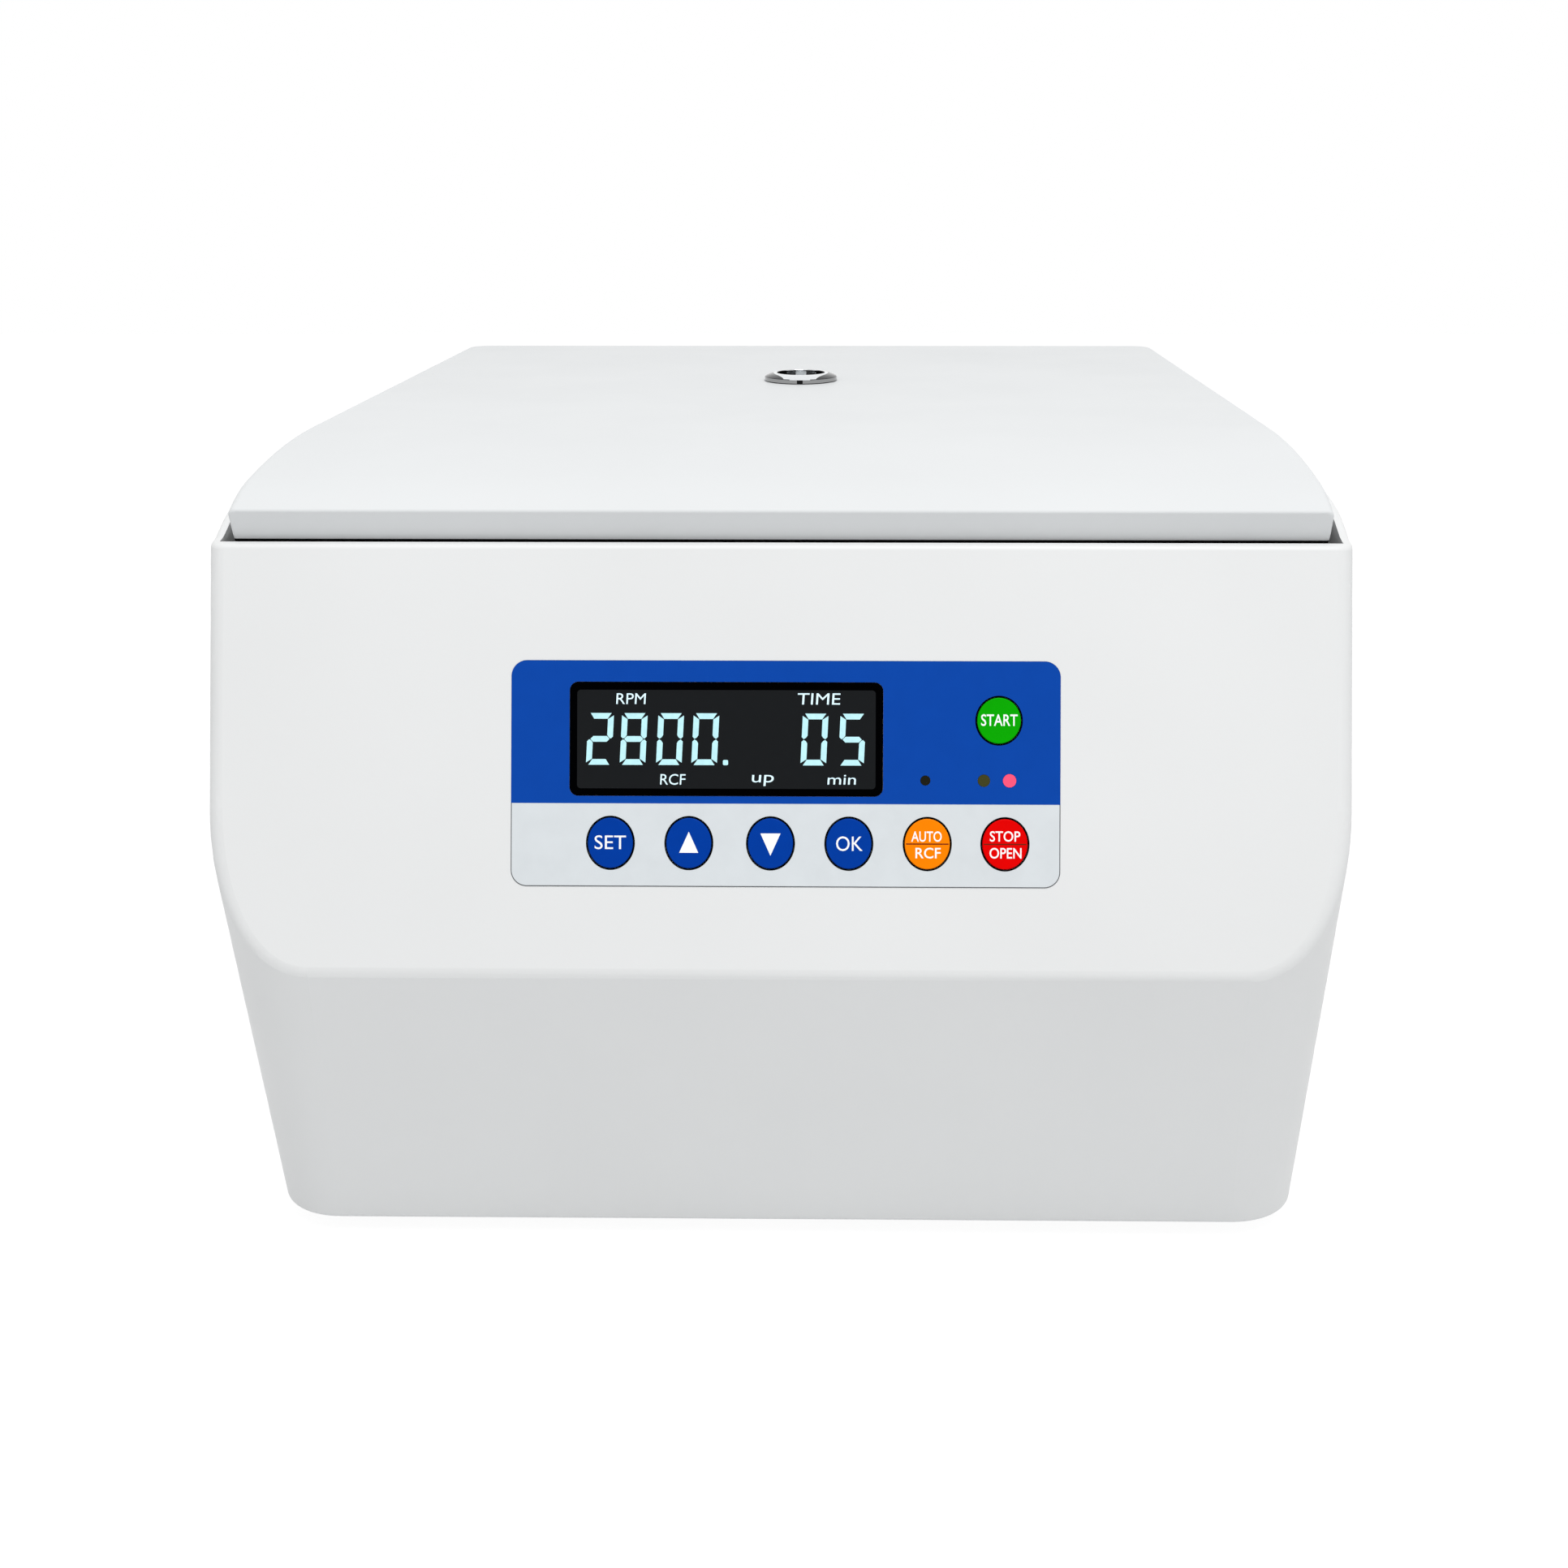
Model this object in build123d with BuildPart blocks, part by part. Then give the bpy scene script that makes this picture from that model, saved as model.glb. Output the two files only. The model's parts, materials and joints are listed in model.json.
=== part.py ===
"""Bench-top microplate centrifuge with a hinged lid, a two-place swing-out rotor and a keyed front panel.

Millimetres. +Z is up, -Y is the front. The origin is under the middle of the overall box, on the bench.
"""
from build123d import *
import os
from math import cos, radians, sin, sqrt, tan

os.makedirs("parts", exist_ok=True)

# ---------------------------------------------------------------- driving dimensions
# Housing form
body_width = 440
overall_depth = 527.5
foot_height = 8
shell_wall = 4
crease_height = 138.4          # sharp fold line of the front, above the bench
rim_front_height = 296.4       # top of the front panel
panel_lean = 16                # front panel leans back by this angle
undercut_angle = 19.2          # lower front runs back under the fold by this angle
corner_radius_foot = 30        # front vertical corners at the foot
corner_radius_rim = 55         # the same corners at the height of the rear rim
rear_rim_height = 340
rear_corner_radius = 12
crease_round = 8
panel_edge_round = 7
rim_round = 2.4
rim_sweep = 26                 # the rim leaves the front level and curves up at this radius
foot_edge_round = 3
overrun = 1                    # how far a cutting form runs on past what it cuts
headroom = 20                  # the housing's form starts this far above its rim and is cut down

# Lid form
rim_step_back = 1.6            # lid lip stands this far behind the panel's top edge
rim_step_down = 12.9           # and this far above it
lid_side_gap = 4.6
lid_rear_gap = 9
lid_wall = 3.5
lid_skirt = 21
lip_undercut = 22
nose_slope = 30
shoulder_slope = 13
roof_slope = 3.6
nose_radius = 85
crown_radius = 550
lid_edge_round = 3
lip_edge_round = 1.2            # the crease where the lip meets the hood is tighter
lid_back_corner = 12
skirt_taper = 2
skirt_taper_height = 12

# Fits
fit_gap = 0.3                  # between pieces that move past each other
seat_gap = 0.1                 # between pieces that are set into each other
running_gap = 0.05             # radial, pins and shafts
screw_gap = 0.15               # radial, screws in their holes

# Chassis
liner_drop = 3.4               # underside of the lid liner below the top of the front panel
seal_height = 9                # top of the deck plate to the lid liner
deck_thickness = 2
ledge_width = 9
ledge_thickness = 4
base_thickness = 2.5
screw_radius = 2
screw_head_radius = 3.6
screw_head_height = 2.4
screw_head_round = 1
screw_socket_radius = 1.8
screw_length = 9
short_screw_length = 6
board_screw_length = 7
damper_screw_length = 12
boss_radius = 6
boss_height = 30
boss_sink = 1                  # how far a boss runs into the side wall
post_radius = 4.4
standoff_radius = 3.6
base_boss_front_inset = 53.7
base_boss_rear_inset = 44.25
deck_screw_pitch = 150
deck_screw_rear_x = 110
foot_radius = 14
foot_inset_x = 42
foot_inset_y = 37
foot_taper = 8
foot_round = 1.5
foot_bore_gap = 1              # radial, around the screw head in the foot

# Rotor chamber
bowl_rear_share = 0.284        # how much of the room left in depth lies behind the bowl
bowl_radius = 148
bowl_wall = 2
bowl_floor = 172
bowl_bottom_round = 14
bowl_flange = 11
bowl_hole_radius = 24
gasket_width = 6

# Rotor and buckets
plate_pocket_length = 129.5    # along Y, for a 127.76 mm plate
plate_pocket_width = 87        # along X, for an 85.48 mm plate
bucket_wall = 2
bucket_height = 30
pivot_below_rim = 6
pivot_x = 72
pivot_z = 240
trunnion_radius = 4
trunnion_boss_radius = 8
trunnion_boss_length = 4
yoke_gap = 0.75                # bucket boss to yoke bar
yoke_bar = 10
yoke_height = 20
yoke_overhang = 16
crossbar_width = 40
hub_radius = 20
hub_height = 32
pad_thickness = 2

notch_length = 50
notch_depth = 12
bucket_corner = 4
pocket_corner = 3
boss_drop = 1                  # keeps the pivot boss below the bucket's rim
pad_play = 1
pad_well_radius = 5
pad_well_pitch = 18
crossbar_rib = 7
relief_end_rib = 6
relief_corner = 5
spindle_tip_radius = 6
spindle_chamfer = 1
spindle_foot_gap = 1
nut_radius = 13
nut_height = 12
nut_top_wall = 2
nut_end_gap = 1
nut_flutes = 12
nut_flute_radius = 1.5
nut_chamfer = 0.6

# Motor
can_floor = 4
cap_thickness = 8
core_radius = 34
stator_low = 82
boot_fold = 5
boot_wall = 2
boot_flange = 14
stator_height = 44
spindle_radius = 8
motor_radius = 60
motor_bottom = 54
motor_top = 158
motor_plate_thickness = 6
motor_plate_side = 170
damper_radius = 14
can_wall = 3
bearing_radius = 17.5
bearing_width = 11
bearing_race = 3
bearing_groove = 1
air_gap = 1
core_overhang = 1
winding_slots = 12
winding_slot_length = 12
winding_slot_width = 7
winding_slot_round = 2
winding_slot_inset = 9
plate_corner = 12
damper_edge_gap = 1
damper_waist_depth = 3.5
damper_lip = 10.65

# Control panel, measured along the panel from the fold line
overlay_left = -102.1
overlay_right = 107.6
overlay_low = 33.8
overlay_high = 120.1
overlay_round = 6
overlay_thickness = 0.8
overlay_proud = 0.2
window_left = -79.8
window_right = 40.1
window_low = 68.3
window_high = 112.0
window_round = 3.4
window_border = 3
key_width = 17.2
key_height = 19.2
key_row = 50.4
start_key_width = 16.6
start_key_height = 17.5
key_proud = 0.6
key_travel = 0.8
key_flange = 1.6
key_flange_thickness = 1.2
key_stem_radius = 2
key_stem_length = 3
key_top_round = 0.4
switch_size = 6
switch_button_height = 1.4
switch_button_radius = 1.6
chip_side = 24
chip_height = 3
header_length = 32
header_width = 9
header_inset = 26
board_margin = 4
board_depth = 13               # outer face of the panel to the control board
board_thickness = 1.6
led_row = 74.6
sight_front_offset = 10         # sight glass in front of the spindle
sight_flange_radius = 19
sight_opening_radius = 12.5
sight_ring_height = 4.2
sight_band_height = 2.5         # upright edge of the ring above the roof
sight_band_bevel = 0.3
sight_foot_inset = 0.6          # the ring's foot stands back under its edge
sight_foot_height = 0.5
sight_crest = 0.8               # width of the crest round the opening
sight_crest_round = 0.3
sight_bulge = 0.25              # the sloping face's arc above its chord
sight_window_rise = 1
sight_window_round = 0.8
sight_tube_gap = 1

# Lid inside
liner_thickness = 2
liner_depth = 70
liner_bracket_gap = 8          # liner's side to the hinge bracket's middle
liner_front_gap = 17.2         # liner behind the lip's edge
liner_rear_gap = 20.25
liner_corner = 14
lid_boss_inset_x = 20
lid_boss_front_inset = 110
lid_boss_rear_inset = 31
sight_wall = 2
bowl_flange_thickness = 1.5
bowl_collar = 4

# Lid hinge
hinge_rear_inset = 11.25       # hinge pins in front of the lid's rear edge
hinge_roof_drop = 10.76        # and below its roof
hinge_pin_radius = 3
hinge_pin_chamfer = 0.5
hinge_pin_proud = 1
hinge_eye_radius = 6
hinge_neck_drop = 5
hinge_plate = 4
hinge_side_gap = 1
bracket_inset = 32             # brackets inside the housing's sides
bracket_foot_width = 14
neck_rear_gap = 19             # bracket neck in front of the pins
neck_depth = 16
arm_length = 70
arm_flange_width = 9

# Latch
striker_inset = 32.2           # striker behind the lid's lip
striker_drop = 28              # its bar below the liner
striker_half_width = 10
striker_radius = 3
striker_bend = 5
striker_plate = 3
striker_plate_width = 50
striker_plate_depth = 14
striker_plate_round = 2
latch_slot_width = 30
latch_slot_depth = 17
latch_sheet = 2
latch_pin_radius = 2.5
pawl_behind_bar = 17
pawl_below_bar = 15
pawl_release = 20
pawl_hub = 6
pawl_thickness = 8
pawl_link = 16
pawl_link_width = 4
hook_beak = 4
hook_reach = 1
hook_play = 1                  # between the hook and the striker's bar when shut
hook_tip = 3
hook_back_width = 2
hook_height = 6
link_pin_radius = 1.5
link_slot_play = 3
plunger_radius = 3
plunger_length = 26
fork_length = 10               # pawl pivot to the back of the fork
fork_height = 7
fork_end = 3
fork_round = 2
solenoid_gap = 10
solenoid_length = 28
solenoid_height = 26
solenoid_round = 2
frame_front_reach = 15
frame_side_gap = 1
frame_drop = 62
frame_wing = 9
switch_body = 11
switch_offset = 4
switch_depth = 6.6
switch_round = 1
lever_length = 5
lever_width = 2
lever_thickness = 1

# Electronics in the front bay
driver_x = -95
driver_inset = 68.7            # board's middle behind the foot of the front
driver_length = 130
driver_width = 84
driver_standoff = 11
capacitor_radius = 10
capacitor_height = 28
capacitor_pitch = 26
choke_length = 30
choke_width = 24
choke_height = 22
heatsink_length = 70
heatsink_width = 30
heatsink_base = 4
fin_height = 26
fin_thickness = 2
fin_pitch = 7.4
fin_count = 10
supply_x = 90
supply_length = 140
supply_width = 80
supply_height = 42
supply_corner = 2
supply_slot_length = 56
supply_slot_width = 3
supply_slot_pitch = 8
supply_slot_depth = 2

# Rear panel
slot_pitch = 9
slot_length = 34
slot_width = 3.2
base_slot_count = 9
rear_slot_count = 8
rear_slot_rows = 3
rear_panel_corner = 3
fan_hole_pitch = 71.5
fan_strut = 4
fan_axle_radius = 3
fan_blades = 7
fan_pitch = 40
fan_blade_chord = 17
fan_blade_width = 17
fan_tip_gap = 1.5
fan_blade_thickness = 1.4
fan_corner = 4
fan_hub_round = 2
fan_seat_overlap = 1
guard_wire = 1.1
guard_rings = 4
guard_first_ring = 10
guard_ring_pitch = 8
guard_tab_radius = 6
guard_spoke_gap = 0.5
inlet_flange = 3
inlet_flange_thickness = 2.5
inlet_depth = 24
socket_width = 27
socket_height = 20
socket_depth = 17
contact_length = 12
contact_width = 2
contact_height = 4
contact_places = ((-7, -1.5), (7, -1.5), (0, 2.5))
socket_chamfer = 5
socket_round = 2
inlet_corner = 3
rocker_y_inset = 3.5
rocker_radius = 7.6
rocker_width = 19
rocker_pin_radius = 1.5
rocker_travel = 16
rocker_face = 3.6              # bottom of its dish, in front of its pivot
rocker_dish = 0.22             # slope of each half of the dish
inlet_body_width = 44
inlet_body_height = 58
rear_panel_width = 330
rear_panel_low = 28
rear_panel_high = 166
rear_panel_thickness = 2
rear_panel_lap = 8
guard_proud = 4.5
fan_side = 80
fan_depth = 25
fan_x = -85
fan_z = 97
fan_bore_radius = 37
fan_hub_radius = 17
inlet_x = 105
inlet_z = 92

# ---------------------------------------------------------------- derived places
half_width = body_width / 2
half_turn = (panel_lean + undercut_angle) / 2
crease_setback = crease_round * (1 / cos(radians(half_turn)) - 1)
crease_y = -overall_depth / 2 - crease_setback
rear_y = overall_depth / 2 - guard_proud
foot_front_y = crease_y + (crease_height - foot_height) * tan(radians(undercut_angle))
rim_front_y = crease_y + (rim_front_height - crease_height) * tan(radians(panel_lean))
lip_y = rim_front_y + rim_step_back
lip_z = rim_front_height + rim_step_down
lid_half_width = half_width - shell_wall - lid_side_gap
lid_rear_y = rear_y - shell_wall - lid_rear_gap
base_top = foot_height + base_thickness
liner_height = rim_front_height - liner_drop
deck_height = liner_height - seal_height
deck_bottom = deck_height - deck_thickness
hinge_y = lid_rear_y - hinge_rear_inset
bracket_x = half_width - bracket_inset
neck_rear_y = hinge_y - neck_rear_gap
neck_front_y = neck_rear_y - neck_depth
arm_front_y = hinge_y - arm_length
bracket_foot_x = bracket_x + bracket_foot_width / 2
bracket_foot_y = (neck_front_y + neck_rear_y) / 2
liner_half_width = bracket_x - liner_bracket_gap
liner_front_y = lip_y + liner_front_gap
liner_rear_y = lid_rear_y - liner_rear_gap
lid_boss_x = liner_half_width - lid_boss_inset_x
lid_boss_front_y = liner_front_y + lid_boss_front_inset
lid_boss_rear_y = liner_rear_y - lid_boss_rear_inset
striker_y = lip_y + striker_inset
striker_bar_z = liner_height - striker_drop
pawl_y = striker_y + pawl_behind_bar
pawl_z = striker_bar_z - pawl_below_bar
fork_rear_y = pawl_y + fork_length
solenoid_front_y = fork_rear_y + solenoid_gap
frame_front_y = striker_y - frame_front_reach
frame_rear_y = solenoid_front_y + solenoid_length
bowl_outer = bowl_radius + bowl_wall
flange_outer = bowl_outer + bowl_flange
room_behind_latch = rear_y - shell_wall - frame_rear_y - flange_outer - bowl_outer
spin_y = rear_y - shell_wall - room_behind_latch * bowl_rear_share - flange_outer
sight_y = spin_y - sight_front_offset
driver_y = foot_front_y + driver_inset

# The control panel's own frame: X across, Y up along the panel, Z straight out of it.
panel_plane = Plane(
    origin=(0, crease_y, crease_height),
    x_dir=(1, 0, 0),
    z_dir=(0, -cos(radians(panel_lean)), sin(radians(panel_lean))),
)
spin_centre = (0, spin_y)


# ---------------------------------------------------------------- shared shapes
def front_y_at(level):
    """Front of the lower body, carried on above the fold."""
    return foot_front_y - (level - foot_height) * tan(radians(undercut_angle))


def corner_at(level):
    """Front corner radius, growing evenly with height."""
    growth = (corner_radius_rim - corner_radius_foot) / (rear_rim_height - foot_height)
    return corner_radius_foot + (level - foot_height) * growth


def panel_y_at(level):
    """Outer face of the leaning front panel."""
    return crease_y + (level - crease_height) * tan(radians(panel_lean))


def body_form(inset, low, high):
    """The housing's form drawn in by inset, between two heights."""
    back = rear_y - inset
    half = half_width - inset
    with BuildPart() as form:
        for level in (low, high):
            front = front_y_at(level) + inset / cos(radians(undercut_angle))
            with BuildSketch(Plane.XY.offset(level)) as section:
                with Locations((0, (front + back) / 2)):
                    Rectangle(2 * half, back - front)
                fillet(section.vertices().group_by(Axis.Y)[0], corner_at(level) - inset)
                fillet(section.vertices().group_by(Axis.Y)[-1], rear_corner_radius - inset / 2)
        loft(ruled=True)
        lean_shift = inset / cos(radians(panel_lean))
        with BuildSketch(Plane.YZ):
            with BuildLine():
                Polyline(
                    (panel_y_at(low) + lean_shift, low),
                    (panel_y_at(high) + lean_shift, high),
                    (back + overrun, high),
                    (back + overrun, low),
                    close=True,
                )
            make_face()
        extrude(amount=body_width, both=True, mode=Mode.INTERSECT)
    return form.part


def hood_line(start_y, start_z, end_y, inset=0):
    """The roof's side line inside a BuildLine: a nose arc, a crown arc and a straight roof."""
    start_slope = (cos(radians(nose_slope)), sin(radians(nose_slope)))
    nose = JernArc((start_y, start_z), start_slope, nose_radius - inset, shoulder_slope - nose_slope)
    crown = JernArc(nose @ 1, nose % 1, crown_radius - inset, roof_slope - shoulder_slope)
    crown_end = crown @ 1
    roof_end = Vector(end_y, crown_end.Y + (end_y - crown_end.X) * tan(radians(roof_slope)))
    Line(crown_end, roof_end)
    return crown_end, roof_end


def lid_form(inset, drop):
    """The lid's form drawn in by inset, with its underside this far below the roof."""
    start_y = lip_y + inset
    start_z = lip_z + inset * tan(radians(nose_slope)) - inset / cos(radians(nose_slope))
    with BuildPart() as form:
        with BuildSketch(Plane.YZ):
            with BuildLine():
                crown_end, roof_end = hood_line(start_y, start_z, lid_rear_y - inset, inset)
                Polyline(
                    roof_end,
                    (roof_end.X, roof_end.Y - drop),
                    (crown_end.X, crown_end.Y - drop),
                    (start_y + drop * tan(radians(lip_undercut)), start_z - drop),
                    (start_y, start_z),
                )
            make_face()
        extrude(amount=lid_half_width - inset, both=True)
        back_corners = form.edges().filter_by(Axis.Z).group_by(Axis.Y)[-1]
        fillet(back_corners, lid_back_corner - inset)
    return form.part


def roof_height_at(y):
    """Outer roof height on the straight part of the lid."""
    nose_rise = nose_radius * (cos(radians(shoulder_slope)) - cos(radians(nose_slope)))
    nose_run = nose_radius * (sin(radians(nose_slope)) - sin(radians(shoulder_slope)))
    crown_rise = crown_radius * (cos(radians(roof_slope)) - cos(radians(shoulder_slope)))
    crown_run = crown_radius * (sin(radians(shoulder_slope)) - sin(radians(roof_slope)))
    straight_run = y - (lip_y + nose_run + crown_run)
    return lip_z + nose_rise + crown_rise + straight_run * tan(radians(roof_slope))


def ceiling_at(y):
    """Underside of the straight roof inside the lid."""
    return roof_height_at(y) - lid_wall / cos(radians(roof_slope))


hinge_z = roof_height_at(hinge_y) - hinge_roof_drop


def screw(plane, length):
    """A pan-head screw: its head stands on the plane and its shank runs back through it."""
    with BuildPart() as piece:
        with BuildSketch(plane):
            Circle(screw_head_radius)
        extrude(amount=screw_head_height)
        head_rim = piece.edges().filter_by(GeomType.CIRCLE).sort_by(Axis(plane.origin, plane.z_dir))[-1]
        fillet(head_rim, screw_head_round)
        with BuildSketch(plane.offset(screw_head_height)):
            RegularPolygon(screw_socket_radius, 6)
        extrude(amount=-screw_head_height / 2, mode=Mode.SUBTRACT)
        with BuildSketch(plane):
            Circle(screw_radius)
        extrude(amount=-length)
    return piece.part


# ---------------------------------------------------------------- housing and chassis
key_places = {
    "set": (-64.0, key_row, key_width, key_height),
    "up": (-34.0, key_row, key_width, key_height),
    "down": (-2.8, key_row, key_width, key_height),
    "ok": (27.1, key_row, key_width, key_height),
    "auto": (57.0, key_row, key_width, key_height),
    "stop": (86.6, key_row, key_width, key_height),
    "start": (84.2, 97.5, start_key_width, start_key_height),
}
led_places = [(56.2, 1.85), (78.5, 2.3), (88.3, 2.5)]
overlay_centre = ((overlay_left + overlay_right) / 2, (overlay_low + overlay_high) / 2)
overlay_size = (overlay_right - overlay_left, overlay_high - overlay_low)
window_centre = ((window_left + window_right) / 2, (window_low + window_high) / 2)
window_size = (window_right - window_left, window_high - window_low)
overlay_recess = overlay_thickness - overlay_proud
board_posts = [
    (x, s)
    for x in (overlay_left + board_margin, overlay_right - board_margin)
    for s in (overlay_low + board_margin, overlay_high - board_margin)
]
rear_centre_z = (rear_panel_low + rear_panel_high) / 2
rear_panel_height = rear_panel_high - rear_panel_low
rear_plane = Plane(origin=(0, rear_y, rear_centre_z), x_dir=(-1, 0, 0), z_dir=(0, 1, 0))
rear_screw_places = [
    (x, z)
    for x in (-(rear_panel_width - rear_panel_lap) / 2, 0, (rear_panel_width - rear_panel_lap) / 2)
    for z in (-(rear_panel_height - rear_panel_lap) / 2, (rear_panel_height - rear_panel_lap) / 2)
]
boss_x = half_width - shell_wall - boss_radius + boss_sink
base_boss_front_y = foot_front_y + base_boss_front_inset
base_boss_rear_y = rear_y - base_boss_rear_inset
base_boss_rows = (base_boss_front_y, (base_boss_front_y + base_boss_rear_y) / 2, base_boss_rear_y)
base_boss_places = [(side * boss_x, y) for side in (-1, 1) for y in base_boss_rows]
ledge_inset = shell_wall + ledge_width / 2
deck_screw_places = [
    (side * (half_width - ledge_inset), y)
    for side in (-1, 1)
    for y in (-deck_screw_pitch, 0, deck_screw_pitch)
] + [(side * deck_screw_rear_x, rear_y - ledge_inset) for side in (-1, 1)]
foot_places = [
    (side_x * (half_width - foot_inset_x), y)
    for side_x in (-1, 1)
    for y in (foot_front_y + foot_inset_y, rear_y - foot_inset_y)
]

with BuildPart() as housing:
    add(body_form(0, foot_height, rear_rim_height + headroom))
    with BuildSketch(Plane.YZ):
        with BuildLine():
            rim_bend = JernArc((rim_front_y, rim_front_height), (1, 0), rim_sweep, nose_slope)
            bend_end = rim_bend @ 1
            roof_end = hood_line(bend_end.X, bend_end.Y, rear_y + overrun)[1]
            Polyline(
                roof_end,
                (rear_y + overrun, foot_height),
                (panel_y_at(foot_height), foot_height),
                (rim_front_y, rim_front_height),
            )
        make_face()
    extrude(amount=body_width, both=True, mode=Mode.INTERSECT)
    panel_axis = Axis((0, 0, 0), panel_plane.z_dir)
    panel_face = housing.faces().filter_by(GeomType.PLANE).filter_by(panel_axis).sort_by(Axis.Y)[0]
    fillet(panel_face.edges().sort_by(Axis.Z)[:-1], panel_edge_round)
    rim_faces = housing.faces().filter_by(lambda face: face.normal_at().Z > 0.8)
    rim_across = rim_faces.edges().filter_by(Axis.X).sort_by(Axis.Y)
    rim_along = rim_faces.edges().filter_by(Axis.X, reverse=True)
    fillet([rim_across[0], rim_across[-1]] + rim_along, rim_round)
    fillet(housing.faces().sort_by(Axis.Z)[0].edges(), foot_edge_round)
    add(body_form(shell_wall, foot_height - overrun, rear_rim_height + 2 * headroom), mode=Mode.SUBTRACT)
    # ledge under the deck plate
    add(body_form(shell_wall / 2, deck_bottom - ledge_thickness, deck_bottom))
    add(
        body_form(shell_wall + ledge_width, deck_bottom - ledge_thickness - overrun, deck_bottom + overrun),
        mode=Mode.SUBTRACT,
    )
    # bosses that take the base plate's screws
    for boss_place in base_boss_places:
        with BuildSketch(Plane.XY.offset(base_top)):
            with Locations(boss_place):
                Circle(boss_radius)
        extrude(amount=boss_height)
    # posts behind the front panel for the control board
    with BuildSketch(panel_plane.offset(-board_depth)):
        with Locations(*board_posts):
            Circle(post_radius)
    extrude(amount=board_depth - shell_wall / 2)
    # seat of the printed overlay, and the openings behind it
    with BuildSketch(panel_plane):
        with Locations(overlay_centre):
            RectangleRounded(*[size + 2 * seat_gap for size in overlay_size], overlay_round + seat_gap)
    extrude(amount=-overlay_recess, mode=Mode.SUBTRACT)
    with BuildSketch(panel_plane):
        with Locations(window_centre):
            Rectangle(*[size - 2 * window_border for size in window_size])
        for place_x, place_s, width, height in key_places.values():
            with Locations((place_x, place_s)):
                Ellipse(width / 2 + fit_gap, height / 2 + fit_gap)
        for led_x, led_radius in led_places:
            with Locations((led_x, led_row)):
                Circle(led_radius + seat_gap)
    extrude(amount=-shell_wall - overrun, mode=Mode.SUBTRACT)
    # rebated opening for the rear panel
    with BuildSketch(rear_plane):
        Rectangle(rear_panel_width + 2 * seat_gap, rear_panel_height + 2 * seat_gap)
    extrude(amount=-rear_panel_thickness, mode=Mode.SUBTRACT)
    with BuildSketch(rear_plane):
        Rectangle(rear_panel_width - 2 * rear_panel_lap, rear_panel_height - 2 * rear_panel_lap)
    extrude(amount=-shell_wall - overrun, mode=Mode.SUBTRACT)
    # screw holes: rear panel, deck ledge, base bosses, board posts
    with BuildSketch(rear_plane):
        with Locations(*rear_screw_places):
            Circle(screw_radius + screw_gap)
    extrude(amount=-shell_wall - overrun, mode=Mode.SUBTRACT)
    with BuildSketch(Plane.XY.offset(deck_bottom)):
        with Locations(*deck_screw_places):
            Circle(screw_radius + screw_gap)
    extrude(amount=-ledge_thickness, mode=Mode.SUBTRACT)
    with BuildSketch(Plane.XY.offset(base_top)):
        with Locations(*base_boss_places):
            Circle(screw_radius + screw_gap)
    extrude(amount=boss_height / 2, mode=Mode.SUBTRACT)
    with BuildSketch(panel_plane.offset(-board_depth)):
        with Locations(*board_posts):
            Circle(screw_radius + screw_gap)
    extrude(amount=board_depth - shell_wall, mode=Mode.SUBTRACT)
housing.part.label = "housing"
export_step(housing.part, "parts/housing.step")

with BuildPart() as base_plate:
    add(body_form(shell_wall + fit_gap, foot_height, base_top))
    with BuildSketch(Plane.XY.offset(base_top)):
        with Locations(*base_boss_places, *foot_places):
            Circle(screw_radius + screw_gap)
    extrude(amount=-base_thickness, mode=Mode.SUBTRACT)
    # cooling slots under the motor
    with BuildSketch(Plane.XY.offset(base_top)):
        with Locations(spin_centre):
            with GridLocations(slot_pitch, 2 * slot_pitch + slot_length, base_slot_count, 2):
                SlotOverall(slot_length, slot_width, rotation=90)
    extrude(amount=-base_thickness, mode=Mode.SUBTRACT)
    # standoffs for the driver board
    with BuildSketch(Plane.XY.offset(base_top)):
        with Locations((driver_x, driver_y)):
            with GridLocations(driver_length - 2 * board_margin, driver_width - 2 * board_margin, 2, 2):
                Circle(standoff_radius)
    extrude(amount=driver_standoff)
base_plate.part.label = "base_plate"
export_step(base_plate.part, "parts/base_plate.step")

foot_plane = Plane.XY.offset(foot_height)
with BuildPart() as rubber_feet:
    with BuildSketch(foot_plane):
        with Locations(*foot_places):
            Circle(foot_radius)
    extrude(amount=-foot_height, taper=foot_taper)
    with BuildSketch(foot_plane.offset(-foot_height)):
        with Locations(*foot_places):
            Circle(screw_head_radius + foot_bore_gap)
    extrude(amount=foot_height / 2, mode=Mode.SUBTRACT)
    with BuildSketch(foot_plane):
        with Locations(*foot_places):
            Circle(screw_radius + screw_gap)
    extrude(amount=-foot_height, mode=Mode.SUBTRACT)
    lower_rims = rubber_feet.edges().filter_by(GeomType.CIRCLE).group_by(Axis.Z)[0]
    fillet(lower_rims.filter_by(lambda edge: edge.radius > foot_radius / 2), foot_round)
rubber_feet.part.label = "rubber_feet"
export_step(rubber_feet.part, "parts/rubber_feet.step")

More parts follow.
